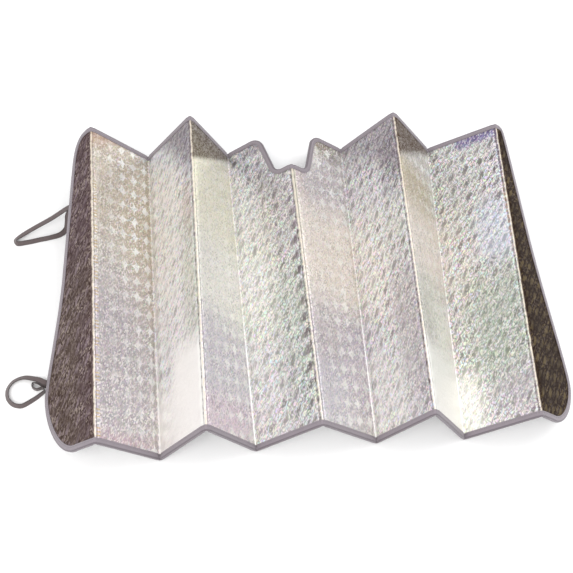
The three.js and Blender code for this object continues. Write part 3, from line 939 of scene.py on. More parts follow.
@dataclass(frozen=True)
class HolographicFilm:
    """Finish of the upper face: silver film with a repeat of wavy strands round leaning leaves, with the
    light and the room's reflections painted into its colour.

    Args:
        pattern: the folded pattern.
        column: distance between two columns of large leaves.
        row: distance between two leaves of a column.
        slant: how far the rows rise from one column to the next, in rows.
        warp: how far the press has pulled the repeat about, in cells.
        bubble: pitch of the bubbles under the film.
        blinding: the veil from which a field of painted reflection lies over the flecks too.
        specular: level of the plain reflection over the metal one.
        drift_scale: how fine the slow change of hue is.
        patch_scale: how fine the patches are, where the repeat shows more or less.
        grain_scale: how fine the grain is.
        glitter_scale: how fine the flecks are.
        prism_scale: how fine the coloured fringes are.
        warp_scale: how fine the pull of the press is.
        beat: distance between two specks beside the last crease.
        rung: distance between two ticks beside the first crease.
        long_wave: pitch of the slow waver of the crease lines.
        short_wave: pitch of its quick waver, which is half as deep.
        waver: depth of the slow waver.
        dark: the repeat's dark parts.
        pale: the repeat's bright parts, and the pressed valleys.
        end_fleck: the leaves on the right end panel, over its painted dark reflection.
        end_mauve: the leaves on the left end panel, over its painted dark reflection.
        end_strand: the strands on the end panels, over their painted dark reflection.
        end_light: the light flecks on the end panels, over their painted dark reflection.
        end_deep: the dark flecks on the end panels, and the painted dark reflection that covers the right
            one.
        land: the pale line along the ridges, the pressed crease painted as a highlight along its round.
        band: the plain strip beside the centre crease.
        ridge_shade: the dark lines beside the ridges, painted shade on the sides of their round.
        dent: the dents beside the centre crease.
        violet: the specks beside the last crease, near its top.
        tick: the ticks beside the first crease.
        amber: the specks beside the last crease, lower down.
    """

    pattern: FoldedPattern
    column: float = 0.029
    row: float = 0.031
    slant: float = 0.14
    warp: float = 0.34
    bubble: float = 0.011
    blinding: float = 0.8
    specular: float = 0.08
    drift_scale: float = 7.0
    patch_scale: float = 26.0
    grain_scale: float = 420.0
    glitter_scale: float = 300.0
    prism_scale: float = 190.0
    warp_scale: float = 62.0
    beat: float = 0.0125
    rung: float = 0.0062
    long_wave: float = 0.041
    short_wave: float = 0.013
    waver: float = 0.0003
    dark: Colour = paint(112, 100, 102)
    pale: Colour = paint(255, 255, 252)
    end_fleck: Colour = paint(110, 94, 60)
    end_mauve: Colour = paint(136, 120, 128)
    end_strand: Colour = paint(98, 84, 82)
    end_light: Colour = paint(166, 152, 142)
    end_deep: Colour = paint(34, 18, 5)
    land: Colour = paint(228, 216, 198)
    band: Colour = paint(206, 203, 188)
    ridge_shade: Colour = paint(96, 82, 80)
    dent: Colour = paint(108, 94, 100)
    violet: Colour = paint(88, 66, 108)
    tick: Colour = paint(190, 164, 112)
    amber: Colour = paint(206, 164, 128)

    def material(self) -> bpy.types.Material:
        """Builds the material."""
        graph = Graph("holographic_film")
        u, v = graph.uv()
        motif = self.motif(u, v)
        pattern = self.pattern
        place = (u + pattern.panel * (pattern.outer + 1)) / pattern.panel
        number = place.floor()
        share = place.fract()
        level = v / pattern.height + 0.5
        facing_left = 1 - (number * 0.5).fract() * 2
        inside = [number.near(index) for index in range(len(PAINTED_PANEL_TONES))]
        ends = inside[0] + inside[-1]

        spot = graph.vector(u, v)
        slanted = graph.vector(u * 1.5 - v * 0.45, v)
        drift = graph.noise(spot, self.drift_scale)
        patch = graph.noise(spot, self.patch_scale)
        cloud = patch.step(0.34, 0.66)
        grain = graph.noise(spot, self.grain_scale, 1.0)
        glitter = graph.cells(slanted, self.glitter_scale)
        fleck = graph.red(glitter)
        prism = graph.red(graph.cells(slanted, self.prism_scale))

        # Painted reflection: each panel's painted tone, with the soft fields of reflected room and highlight
        # laid over it.
        reflected_tone = graph.ramp((number + 0.5) / len(PAINTED_PANEL_TONES), PAINTED_PANEL_TONES)
        masks = [self.reach(reflection, share, level) * inside[reflection.panel - 1] for reflection in REFLECTION_FIELDS]
        for reflection, mask in zip(REFLECTION_FIELDS, masks):
            reflected_tone = graph.mix(reflected_tone, reflection.tint.colour, mask * reflection.strength)
        pastel = graph.hue(drift * 3.0 + level + share * 0.4 + prism * 0.4, 0.16, 0.96)
        reflected_tone = graph.mix(reflected_tone, pastel, 0.22 * (1 - ends))

        fringe = graph.hue(prism, 0.34, 1.0)
        bright = graph.mix(self.pale, fringe, 0.45 + 0.4 * cloud)
        hollow = graph.math("MAXIMUM", motif.leaf, motif.bud * 0.85)
        # The repeat is painted in two looks by which way a panel faces, as the light falls on it. Facing
        # left: bright strands round dark leaves, painted darker towards the right crease. Facing right:
        # painted glints shaped like stars in the leaves' places, brighter towards the right crease.
        depth = (0.50 + share * 0.45) * (0.60 + cloud * 0.40)
        left = graph.mix(reflected_tone, self.dark, (1 - motif.strand) * 0.18 + 0.04)
        left = graph.mix(left, bright, motif.strand * (0.66 + cloud * 0.34))
        left = graph.mix(left, self.dark, hollow * depth)
        glint_share = share.step(-0.2, 0.75) * (0.7 + cloud * 0.3)
        right = graph.mix(reflected_tone, self.dark, (1 - motif.star_glint) * motif.strand * (0.10 + 0.16 * cloud))
        right = graph.mix(right, bright, motif.bud * glint_share * 0.5)
        right = graph.mix(right, self.pale, motif.star_glint * glint_share)
        colour = graph.mix(right, left, facing_left)
        # The two end panels are painted dark, for the dark surroundings that they reflect, with their strands
        # and flecks faint over it.
        painted_dark_ends = graph.mix(reflected_tone, self.end_strand, motif.strand * (0.10 + 0.40 * cloud))
        painted_dark_ends = graph.mix(painted_dark_ends, self.end_light, fleck.step(0.60, 0.92) * (0.14 + 0.50 * cloud))
        painted_dark_ends = graph.mix(painted_dark_ends, self.end_deep, fleck.step(0.38, 0.10) * 0.6)
        painted_dark_ends = graph.mix(painted_dark_ends, self.end_deep, inside[-1] * 0.7)
        leaf_tone = graph.mix(self.end_mauve, self.end_fleck, inside[-1])
        painted_dark_ends = graph.mix(painted_dark_ends, leaf_tone, hollow * (0.16 + 0.40 * cloud))
        colour = graph.mix(colour, painted_dark_ends, ends)
        colour = self.veiled(colour, masks, blinding=False)
        lively = (1 - ends) * 0.85
        colour = graph.mix(colour, glitter, 0.09 * lively)
        colour = graph.mix(colour, self.pale, fleck.step(0.62, 0.86) * (0.30 + cloud * 0.25) * lively)
        colour = graph.mix(colour, self.dark, fleck.step(0.32, 0.10) * (0.18 + cloud * 0.14) * lively)
        colour = self.veiled(colour, masks, blinding=True)
        # Painted dark reflections in the top corners of some panels. The painted dark end panels and corners
        # are also made rougher and less metallic, so that they stay dark.
        painted_dark_share = ends
        for shade in SHADES:
            corner = self.corner(shade, share, v) * inside[shade.panel - 1]
            colour = graph.mix(colour, shade.tint.colour, corner * (shade.strength - fleck * 0.20))
            painted_dark_share = painted_dark_share + corner * shade.strength
        colour = self.creased(colour, u, v, level, cloud)

        rough = 0.36 + motif.strand * 0.10 - hollow * 0.06 + patch * 0.10
        graph.feed({
            "Base Color": colour,
            "Roughness": rough + painted_dark_share * 0.2,
            "Metallic": 0.78 - painted_dark_share * 0.66,
            "Specular IOR Level": self.specular,
        })
        ripple = abs((u / self.bubble * TURN).sin() * (v / (self.bubble * math.sqrt(3)) * TURN).sin())
        height = motif.strand * 0.35 - hollow * 0.30 + ripple * 0.35 + patch * 0.8 + grain * 0.2
        graph.bump(height, 0.0004, 0.9)
        return graph.material

    def veiled(self, colour: Signal, masks: Sequence[Signal], blinding: bool) -> Signal:
        """The colour under the fields of painted reflection and painted highlight that hide the repeat.

        Args:
            colour: the colour before it.
            masks: the masks of REFLECTION_FIELDS, in their order.
            blinding: whether the fields are those that hide the flecks too, or the fainter ones.

        Returns:
            The new colour.
        """
        for reflection, mask in zip(REFLECTION_FIELDS, masks):
            if reflection.veil > 0 and (reflection.veil >= self.blinding) == blinding:
                colour = colour.graph.mix(colour, reflection.tint.colour, mask * reflection.veil)
        return colour

    def motif(self, u: Signal, v: Signal) -> Motif:
        """The masks of the repeat."""
        graph = u.graph
        pull = graph.noise(graph.vector(u, v), self.warp_scale, 1.0) - 0.5
        crossed_pull = graph.noise(graph.vector(v, u), self.warp_scale, 1.0) - 0.5
        across = u / self.column + pull * self.warp
        along = v / self.row - across * self.slant + crossed_pull * self.warp
        leaf = self.petal(across, along, (0.19, 0.30))
        bud = self.petal(across + 0.5, along * 2 + 0.42, (0.12, 0.28))
        side = self.petal(across + 0.26, along * 2 + 0.9, (0.09, 0.24))
        bud = graph.math("MAXIMUM", bud, side)
        wave = (along * (2 * TURN) + across * TURN).sin() * 0.42
        wave = wave + (across * (2 * TURN) - along * TURN).sin() * 0.24
        line = across * 4 - along + wave
        strand = line.fract().band(0.5, 0.34, 0.14)
        star_x = abs(across.fract() - 0.5)
        star_y = abs(along.fract() - 0.5)
        points = graph.math("POWER", star_x * 1.1, 0.7) + graph.math("POWER", star_y, 0.7)
        return Motif(leaf, bud, strand * (1 - leaf), points.step(0.62, 0.46))

    @staticmethod
    def petal(across: Signal, along: Signal, half: tuple[float, float]) -> Signal:
        """A leaning leaf in each cell, with its half width and half length as shares of the cell."""
        x = across.fract() - 0.5
        y = along.fract() - 0.5
        lean = x - y * 0.36 - (y * TURN).sin() * 0.05
        return across.graph.radius(lean / half[0], y / half[1]).step(1.15, 0.70)

    @staticmethod
    def reach(reflection: ReflectionField, share: Signal, level: Signal) -> Signal:
        """The mask of one field of painted reflection."""
        side = share.band(reflection.across, reflection.width, reflection.width * reflection.core)
        return side * level.band(reflection.along, reflection.length, reflection.length * reflection.core)

    def corner(self, shade: Shade, share: Signal, v: Signal) -> Signal:
        """The mask of one painted dark reflection at the top of a panel."""
        line = share * (shade.right - shade.left) + shade.left
        return (v - self.pattern.height / 2 + line).step(-shade.softness, shade.softness)

    def creased(self, colour: Signal, u: Signal, v: Signal, level: Signal, cloud: Signal) -> Signal:
        """The colour with what the press leaves along each crease, and a painted highlight along each ridge
        with painted shade beside it.

        Args:
            colour: the colour before it.
            u: place across the sheet.
            v: place along the creases.
            level: the same as a share, from 0 at the bottom edge to 1 at the top edge.
            cloud: mask of the patches where the repeat shows more.

        Returns:
            The new colour.
        """
        graph = colour.graph
        pattern = self.pattern
        crease = (u / pattern.panel + 0.5).floor()
        inner = crease.near(0, pattern.outer + 0.5)
        ridge = inner * (1 - (crease * 0.5).fract() * 2)
        valley = inner - ridge
        first = crease.near(-pattern.outer)
        middle = crease.near(0)
        last = crease.near(pattern.outer)
        inmost = abs(crease).near(1)
        waver = (v * (TURN / self.long_wave)).sin() * self.waver
        waver = waver + (v * (TURN / self.short_wave)).sin() * (self.waver / 2)
        offset = u - crease * pattern.panel + waver
        dash = graph.noise(graph.vector(crease * 3.1, v), 90.0).step(0.36, 0.56)
        repeat = (v / self.row).fract()

        low = level.step(0.74, 0.66) * level.step(0.10, 0.20)
        dent = abs(offset + 0.0085 - (repeat - 0.5) * 0.006).step(0.0044, 0.0024)
        dent = dent * repeat.band(0.5, 0.34, 0.20) * low * middle
        colour = graph.mix(colour, self.dent, dent * (0.5 + cloud * 0.4))

        beat = v / self.beat + graph.noise(graph.vector(v, crease), 70.0) * 2.4
        spots = offset.band(-0.0030, 0.0028, 0.0014) * beat.fract().band(0.5, 0.36, 0.22)
        speck = graph.mix(self.amber, self.violet, level.step(0.68, 0.84))
        colour = graph.mix(colour, speck, spots * last * level.step(0.46, 0.62) * 0.6)

        rungs = (v / self.rung).fract().band(0.5, 0.26, 0.10) * repeat.band(0.5, 0.30, 0.22)
        tick = offset.band(0.0062, 0.0046, 0.0034) * rungs * level.step(0.86, 0.74)
        colour = graph.mix(colour, self.tick, tick * first * 0.7)

        plate = offset.band(0.0022, 0.0046, 0.0032) * middle * level.step(0.45, 0.75)
        colour = graph.mix(colour, self.band, plate * 0.85)

        # Painted shade beside each ridge, then a painted highlight along it.
        side = offset.band(-0.0030, 0.0019, 0.0009) + offset.band(0.0032, 0.0016, 0.0008) * 0.6
        colour = graph.mix(colour, self.ridge_shade, side * ridge * (0.35 + 0.5 * (1 - dash)))
        line = offset.band(0.0002, 0.0017, 0.0006)
        colour = graph.mix(colour, self.land, line * ridge * (0.26 + 0.50 * dash))

        weld_line = abs(offset).step(0.0032, 0.0014) * valley * level.step(0.50, 0.24)
        strength = (0.3 + inmost * 0.6) * (0.4 + 0.35 * dash)
        return graph.mix(colour, self.pale, weld_line * strength)


@dataclass(frozen=True)
class BubbleBack:
    """Finish of the under face: plain silver bubble film.

    Args:
        pitch: distance between two bubbles.
        silver: the film between the bubbles.
        crown_highlight: the top of a bubble, painted lighter as a highlight.
    """

    pitch: float = 0.011
    silver: Colour = paint(196, 196, 198)
    crown_highlight: Colour = paint(228, 228, 230)

    def material(self) -> bpy.types.Material:
        """Builds the material."""
        graph = Graph("bubble_back")
        u, v = graph.uv()
        rows = v / (self.pitch * math.sqrt(3))
        even = self.dome(u / self.pitch, rows)
        odd = self.dome(u / self.pitch + 0.5, rows + 0.5)
        dome = graph.math("MAXIMUM", even, odd)
        spot = graph.vector(u, v)
        faint = graph.noise(spot, 40.0)
        # The tops of the bubbles are painted lighter, a painted highlight.
        colour = graph.mix(self.silver, self.crown_highlight, dome * 0.6 + faint * 0.2)
        graph.feed({"Base Color": colour, "Roughness": 0.32 + faint * 0.12, "Metallic": 0.75})
        graph.bump(dome + faint * 0.2, 0.0022, 0.9)
        return graph.material

    @staticmethod
    def dome(x: Signal, rows: Signal) -> Signal:
        """The height of one lattice of bubbles, from 0 to 1."""
        side = x.fract() - 0.5
        rise = (rows.fract() - 0.5) * math.sqrt(3)
        return x.graph.radius(side, rise).step(0.46, 0.24)


@dataclass(frozen=True)
class WovenTape:
    """Finish of the edging tape and of the elastic: a close weave that follows the tape.

    Args:
        name: the material's name.
        body: colour of the weave.
        edge: colour of the band along the nose, painted shade on the edging tape, and along the selvedge of
            the elastic.
        edge_at: distance across the tape where the band starts, in metres.
        edge_out: distance across the tape where the band is full, in metres.
        pick: distance between two picks of the weave.
        ribs: distance between two ribs of the weave.
        sheen: strength of the sheen.
    """

    name: str
    body: Colour
    edge: Colour
    edge_at: float
    edge_out: float
    pick: float = 0.0009
    ribs: float = 0.0011
    sheen: float = 0.3

    def material(self) -> bpy.types.Material:
        """Builds the material."""
        graph = Graph(self.name)
        s, w = graph.uv()
        picks = ((s / self.pick) * TURN).sin()
        ends = ((w / self.ribs) * TURN + (s / self.pick * 0.5).floor() * math.pi).sin()
        weave = picks * ends * 0.5 + 0.5
        spot = graph.vector(s, w)
        wear = graph.noise(spot, 60.0)
        fuzz = graph.noise(spot, 900.0, 1.0)
        band = abs(w).step(self.edge_at, self.edge_out)
        colour = graph.mix(self.body, self.edge, band * 0.9)
        # Painted shade in the hollows of the weave, with darker patches of wear.
        dark = tuple(c * 0.55 for c in self.body)
        colour = graph.mix(colour, dark, (1 - weave) * 0.28 + wear * 0.18)
        colour = graph.mix(colour, tuple(min(1.0, c * 1.5) for c in self.body), fuzz * 0.16)
        graph.feed({
            "Base Color": colour,
            "Roughness": 0.72 + wear * 0.16,
            "Sheen Weight": self.sheen,
            "Sheen Roughness": 0.5,
        })
        graph.bump(weave + fuzz * 0.4, 0.00018, 0.7)
        return graph.material


@dataclass(frozen=True)
class SewingThread:
    """Finish of the sewing thread."""

    colour: Colour = paint(120, 112, 118)

    def material(self) -> bpy.types.Material:
        """Builds the material."""
        graph = Graph("sewing_thread")
        where = graph.node("ShaderNodeTexCoord", {}, {}, "Object")
        twist = graph.noise(where, 1400.0, 1.0)
        colour = graph.mix(self.colour, tuple(c * 0.6 for c in self.colour), twist)
        graph.feed({"Base Color": colour, "Roughness": 0.6 + twist * 0.2, "Sheen Weight": 0.2})
        graph.bump(twist, 0.0001, 0.6)
        return graph.material


@dataclass
class FoilSheet:
    """The folded sheet: film on bubble film, pressed thin at its creases.

    Args:
        outline: the sheet's outline.
        rows: number of rows of faces on each side.
        raw_edge: how far the raw edge lies inside the outline.
        swell: how far the film stands off its plane between the creases.
        scallop: how much wider the pressed crease is at every other row.
        tip: how far the first and last columns lie inside the tips.
        crease_step: least distance between two columns on a crease.
        plain_step: least distance between two columns elsewhere.
        crease_fade: where the swell starts and is full, from the crease.
        edge_fade: where the swell starts and is full, from the edge.
        end_fade: heights of an end panel at which the swell starts and is full.
        waves: how many waves of the swell there are in a metre, across and along.
    """

    outline: Outline
    rows: int = 112
    raw_edge: float = 0.0018
    swell: float = 0.0005
    scallop: float = 0.0012
    tip: float = 0.0005
    crease_step: float = 0.0003
    plain_step: float = 0.0015
    crease_fade: tuple[float, float] = (0.006, 0.03)
    edge_fade: tuple[float, float] = (0.012, 0.05)
    end_fade: tuple[float, float] = (0.2, 0.5)
    waves: tuple[float, float] = (14, 9)

    def edges(self) -> tuple[list[Vector], list[Vector]]:
        """The sheet's bottom and top edge, each run from left to right."""
        edge = [place.inset(self.raw_edge) for place in self.outline.places]
        across = [point.x for point in edge]
        left = across.index(min(across))
        right = across.index(max(across))
        return [*edge[left:], *edge[:right + 1]], list(reversed(edge[right:left + 1]))

    @staticmethod
    def height_at(run: Sequence[Vector], u: float) -> float:
        """Height of an edge at u, on a run of points from left to right."""
        after = max(1, next((i for i, point in enumerate(run) if point.x >= u), len(run) - 1))
        low, high = run[after - 1], run[after]
        return lerp(low.y, high.y, clamp((u - low.x) / max(high.x - low.x, TINY)))

    def columns(self, bottom: Sequence[Vector], top: Sequence[Vector]) -> list[float]:
        """Places across the sheet of its columns of points."""
        pattern = self.outline.pattern
        flat_end = pattern.outer_u + pattern.land + pattern.ramp
        left, right = bottom[0].x + self.tip, bottom[-1].x - self.tip
        shaped = [p.x for p in top if abs(p.x) < self.outline.notch_mouth + self.outline.mouth_radius]
        shaped += [p.x for p in [*top, *bottom] if abs(p.x) > flat_end and left < p.x < right]
        found = sorted([*shaped, *self.outline.stations()])
        kept = [found[0]]
        for u in found[1:]:
            to_crease = abs(u - round(u / pattern.panel) * pattern.panel)
            on_crease = to_crease < pattern.land + pattern.ramp
            if u - kept[-1] > (self.crease_step if on_crease else self.plain_step):
                kept.append(u)
        return kept

    def build(self, film: bpy.types.Material, back: bpy.types.Material) -> bpy.types.Object:
        """Builds the sheet.

        Args:
            film: finish of its upper face.
            back: finish of its under face.

        Returns:
            The piece.
        """
        pattern = self.outline.pattern
        bottom, top = self.edges()
        columns = self.columns(bottom, top)
        spans = [(u, self.height_at(bottom, u), self.height_at(top, u)) for u in columns]

        turn = self.rows + 1

        def flat(column: int, row: int) -> tuple[float, float]:
            """The flat point of a cell. Its rows go up the under face and down the upper one."""
            u, low, high = spans[column]
            row %= 2 * turn
            return u, lerp(low, high, min(row, 2 * turn - 1 - row) / self.rows)

        def place_at(column: int, row: int) -> Vector:
            """The point of a cell."""
            u, v = flat(column, row)
            if column in (0, len(spans) - 1):
                return pattern.fold(u, v)
            row %= 2 * turn
            side = 1 if row >= turn else -1
            half = pattern.half_film(u, self.scallop * (min(row, 2 * turn - 1 - row) % 2))
            return pattern.fold(u, v, side * half + self.undulation(u, v, *spans[column][1:]))

        mesh = surface(len(spans), 2 * turn + 1, place_at, flat)
        weld(mesh)
        for face in mesh.faces:
            face.material_index = int(face.normal.z < 0)
        piece = finish_piece("holographic_foil", mesh, [film, back])
        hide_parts("foil_sheet")
        return piece

    def undulation(self, u: float, v: float, low: float, high: float) -> float:
        """How far the film stands off its plane, which fades towards the binding and the creases."""
        pattern = self.outline.pattern
        to_crease = abs(u - pattern.nearest_crease(u) * pattern.panel)
        to_edge = min(v - low, high - v)
        fade = ease(to_crease, *self.crease_fade) * ease(to_edge, *self.edge_fade)
        if abs(u) > pattern.outer_u:
            fade *= ease(high - low, *self.end_fade)
        where = Vector((u * self.waves[0], v * self.waves[1], 0.0))
        return self.swell * fade * 2 * noise.noise(where)


@dataclass
class EdgeBinding:
    """The edging tape: one tape folded over the raw edge, all round.

    Args:
        outline: the sheet's outline, which the tape's nose follows.
        width: how far the tape reaches in on each face.
        thickness: its thickness.
        gap: distance between the tape and the film.
        nose: where the fold round the raw edge starts.
        nose_share: how far the fold's outermost line stands off, as a share of the face.
        seam: distance of the seam from the nose.
        seam_reach: how far from the seam the tape is pulled in.
        dip: how deep the seam pulls the tape in.
        pucker: depth of the puckers along the tape.
        pucker_pitch: distance between two puckers.
    """

    outline: Outline
    width: float = 0.010
    thickness: float = 0.0008
    gap: float = 0.0003
    nose: float = 0.001
    nose_share: float = 0.6
    seam: float = 0.0072
    seam_reach: float = 0.0005
    dip: float = 0.0002
    pucker: float = 0.00012
    pucker_pitch: float = 0.009

    def facing(self, u: float) -> float:
        """Distance from the middle of the film to the tape's inner face at u."""
        return self.outline.pattern.half_film(u) + self.gap

    def section(self) -> list[tuple[float, float, float, float]]:
        """Points round the tape's section.

        Returns:
            For each point its distance in, share of the facing, tape thicknesses, and place across.
        """
        outer = [self.width, 0.0085, 0.0073, 0.0069, 0.0052, 0.0034, 0.0020, self.nose]
        top = [(d, 1.0, 1.0, d) for d in outer]
        nose = [(0.00035, 0.86, 0.86, 0.0006), (0.0, self.nose_share, self.nose_share, 0.0002)]
        half = [*top, *nose]
        under = [(d, -f, -k, -w) for d, f, k, w in reversed(half)]
        inner = [
            (self.width, -1.0, 0.0, -self.width),
            (self.thickness, -1.0, 0.0, -self.thickness),
            (self.thickness, 1.0, 0.0, self.thickness),
            (self.width, 1.0, 0.0, self.width),
        ]
        return [*half, *under, *inner]

    def build(self, finish: bpy.types.Material) -> bpy.types.Object:
        """Builds the tape.

        Args:
            finish: its finish.

        Returns:
            The piece.
        """
        pattern = self.outline.pattern
        run = self.outline.lengths()
        places = self.outline.places
        section = self.section()
        count = len(places)

        def place_at(column: int, row: int) -> Vector:
            """The point of a cell."""
            place = places[column % count]
            distance, share, layers, _ = section[row % len(section)]
            u, v = place.inset(distance)
            waver = self.pucker * math.sin(run[column] * TURN / self.pucker_pitch) * (layers != 0)
            dip = self.dip * (abs(distance - self.seam) < self.seam_reach)
            level = self.facing(u) * share + (self.thickness - dip) * layers
            return pattern.fold(u, v, level + math.copysign(min(waver, 0.0), share) * 0.5)

        def tape_uv(column: int, row: int) -> tuple[float, float]:
            """Distance along the tape and place across it."""
            return run[column], section[row % len(section)][3]

        mesh = surface(count + 1, len(section) + 1, place_at, tape_uv)
        weld(mesh)
        piece = finish_piece("edging_tape", mesh, [finish])
        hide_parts("edge_binding")
        return piece


@dataclass
class Stitching:
    """The lockstitch that holds the tape, on both faces, with a bar tack over each loop.

    Args:
        binding: the tape that is sewn.
        pitch: distance between two stitches.
        length: length of a stitch.
        thread: width of the thread.
        flatness: half the thread's height, as a share of its width.
        lift: distance from the tape to the middle of the thread.
        tack_count: number of stitches of a bar tack.
        tack_pitch: distance between them.
        tack_inset: distance of a bar tack from the nose.
    """

    binding: EdgeBinding
    pitch: float = 0.0042
    length: float = 0.0030
    thread: float = 0.00055
    flatness: float = 0.4
    lift: float = 0.00005
    tack_count: int = 9
    tack_pitch: float = 0.0011
    tack_inset: float = 0.0045

    def build(self, finish: bpy.types.Material, tacks: Sequence[Place]) -> bpy.types.Object:
        """Builds all stitches as one piece.

        Args:
            finish: the thread's finish.
            tacks: the places of the bar tacks on the outline.

        Returns:
            The piece.
        """
        outline = self.binding.outline
        run = outline.lengths()
        mesh = bmesh.new()
        count = int(run[-1] / self.pitch)
        for index in range(count):
            place = outline.at_distance(run, index * run[-1] / count)
            along = Vector((place.inwards.y, -place.inwards.x))
            for side in (1, -1):
                self.stitch(mesh, place.inset(self.binding.seam), along, side)
        for place in tacks:
            along = Vector((place.inwards.y, -place.inwards.x))
            for index in range(self.tack_count):
                aside = along * (index - self.tack_count // 2) * self.tack_pitch
                middle = place.inset(self.tack_inset) + aside
                self.stitch(mesh, middle, place.inwards, 1)
        piece = finish_piece("tape_stitches", mesh, [finish])
        return piece

    def stitch(self, mesh: bmesh.types.BMesh, flat: Vector, along: Vector, side: int) -> None:
        """Adds one stitch.

        Args:
            mesh: the mesh that takes it.
            flat: its middle on the flat pattern.
            along: its direction on the flat pattern.
            side: 1 on the upper face and -1 on the under face.
        """
        pattern = self.binding.outline.pattern
        level = side * (self.binding.facing(flat.x) + self.binding.thickness + self.lift)
        ahead = flat + along * (self.length / 2)
        behind = flat - along * (self.length / 2)
        centre = pattern.fold(flat.x, flat.y, level)
        heading = pattern.fold(ahead.x, ahead.y, level) - pattern.fold(behind.x, behind.y, level)
        upright = pattern.fold(flat.x, flat.y, level + side * self.thread) - centre
        reach = heading.normalized()
        up = upright.normalized()
        aside = reach.cross(up).normalized()
        turned = Matrix((reach, aside, up)).transposed().to_4x4()
        sized = Matrix.Diagonal((self.length / 2, self.thread / 2, self.thread * self.flatness, 1))
        bmesh.ops.create_icosphere(
            mesh, subdivisions=1, radius=1.0, matrix=Matrix.Translation(centre) @ turned @ sized,
        )


UPPER_ROUTE = (
    (-0.013, 0.001, 0.79, 2),
    (-0.040, -0.006, 0.5, 4),
    (-0.072, -0.015, 0.25, 8),
    (-0.097, -0.024, 0.07, 14),
    (-0.109, -0.033, 0.012, 40),
    (-0.106, -0.041, 0.012, 58),
    (-0.088, -0.040, 0.008, 64),
    (-0.064, -0.035, 0.005, 66),
    (-0.044, -0.031, 0.005, 64),
    (-0.027, -0.025, 0.01, 52),
    (-0.017, -0.017, 0.1, 30),
    (-0.013, -0.010, 0.34, 8),
    (-0.011, -0.004, 0.58, -10),
)
LOWER_ROUTE = (
    (-0.008, 0.002, 1.7, 4),
    (-0.017, 0.007, 1.65, 10),
    (-0.028, 0.011, 1.1, 20),
    (-0.045, 0.015, 0.2, 30),
    (-0.061, 0.009, 0, 38),
    (-0.070, -0.005, 0, 46),
    (-0.069, -0.021, 0, 54),
    (-0.060, -0.033, 0, 60),
    (-0.046, -0.037, 0, 64),
    (-0.031, -0.030, 0, 68),
    (-0.015, -0.019, 0, 76),
    (-0.008, -0.012, 0, 88),
    (-0.012, -0.007, 0, 92),
    (-0.021, -0.009, 0, 92),
    (-0.029, -0.004, 0, 92),
    (-0.028, 0.004, 0, 104),
    (-0.018, 0.003, 0.05, 140),
    (-0.009, 0.000, 0.1, 174),
)


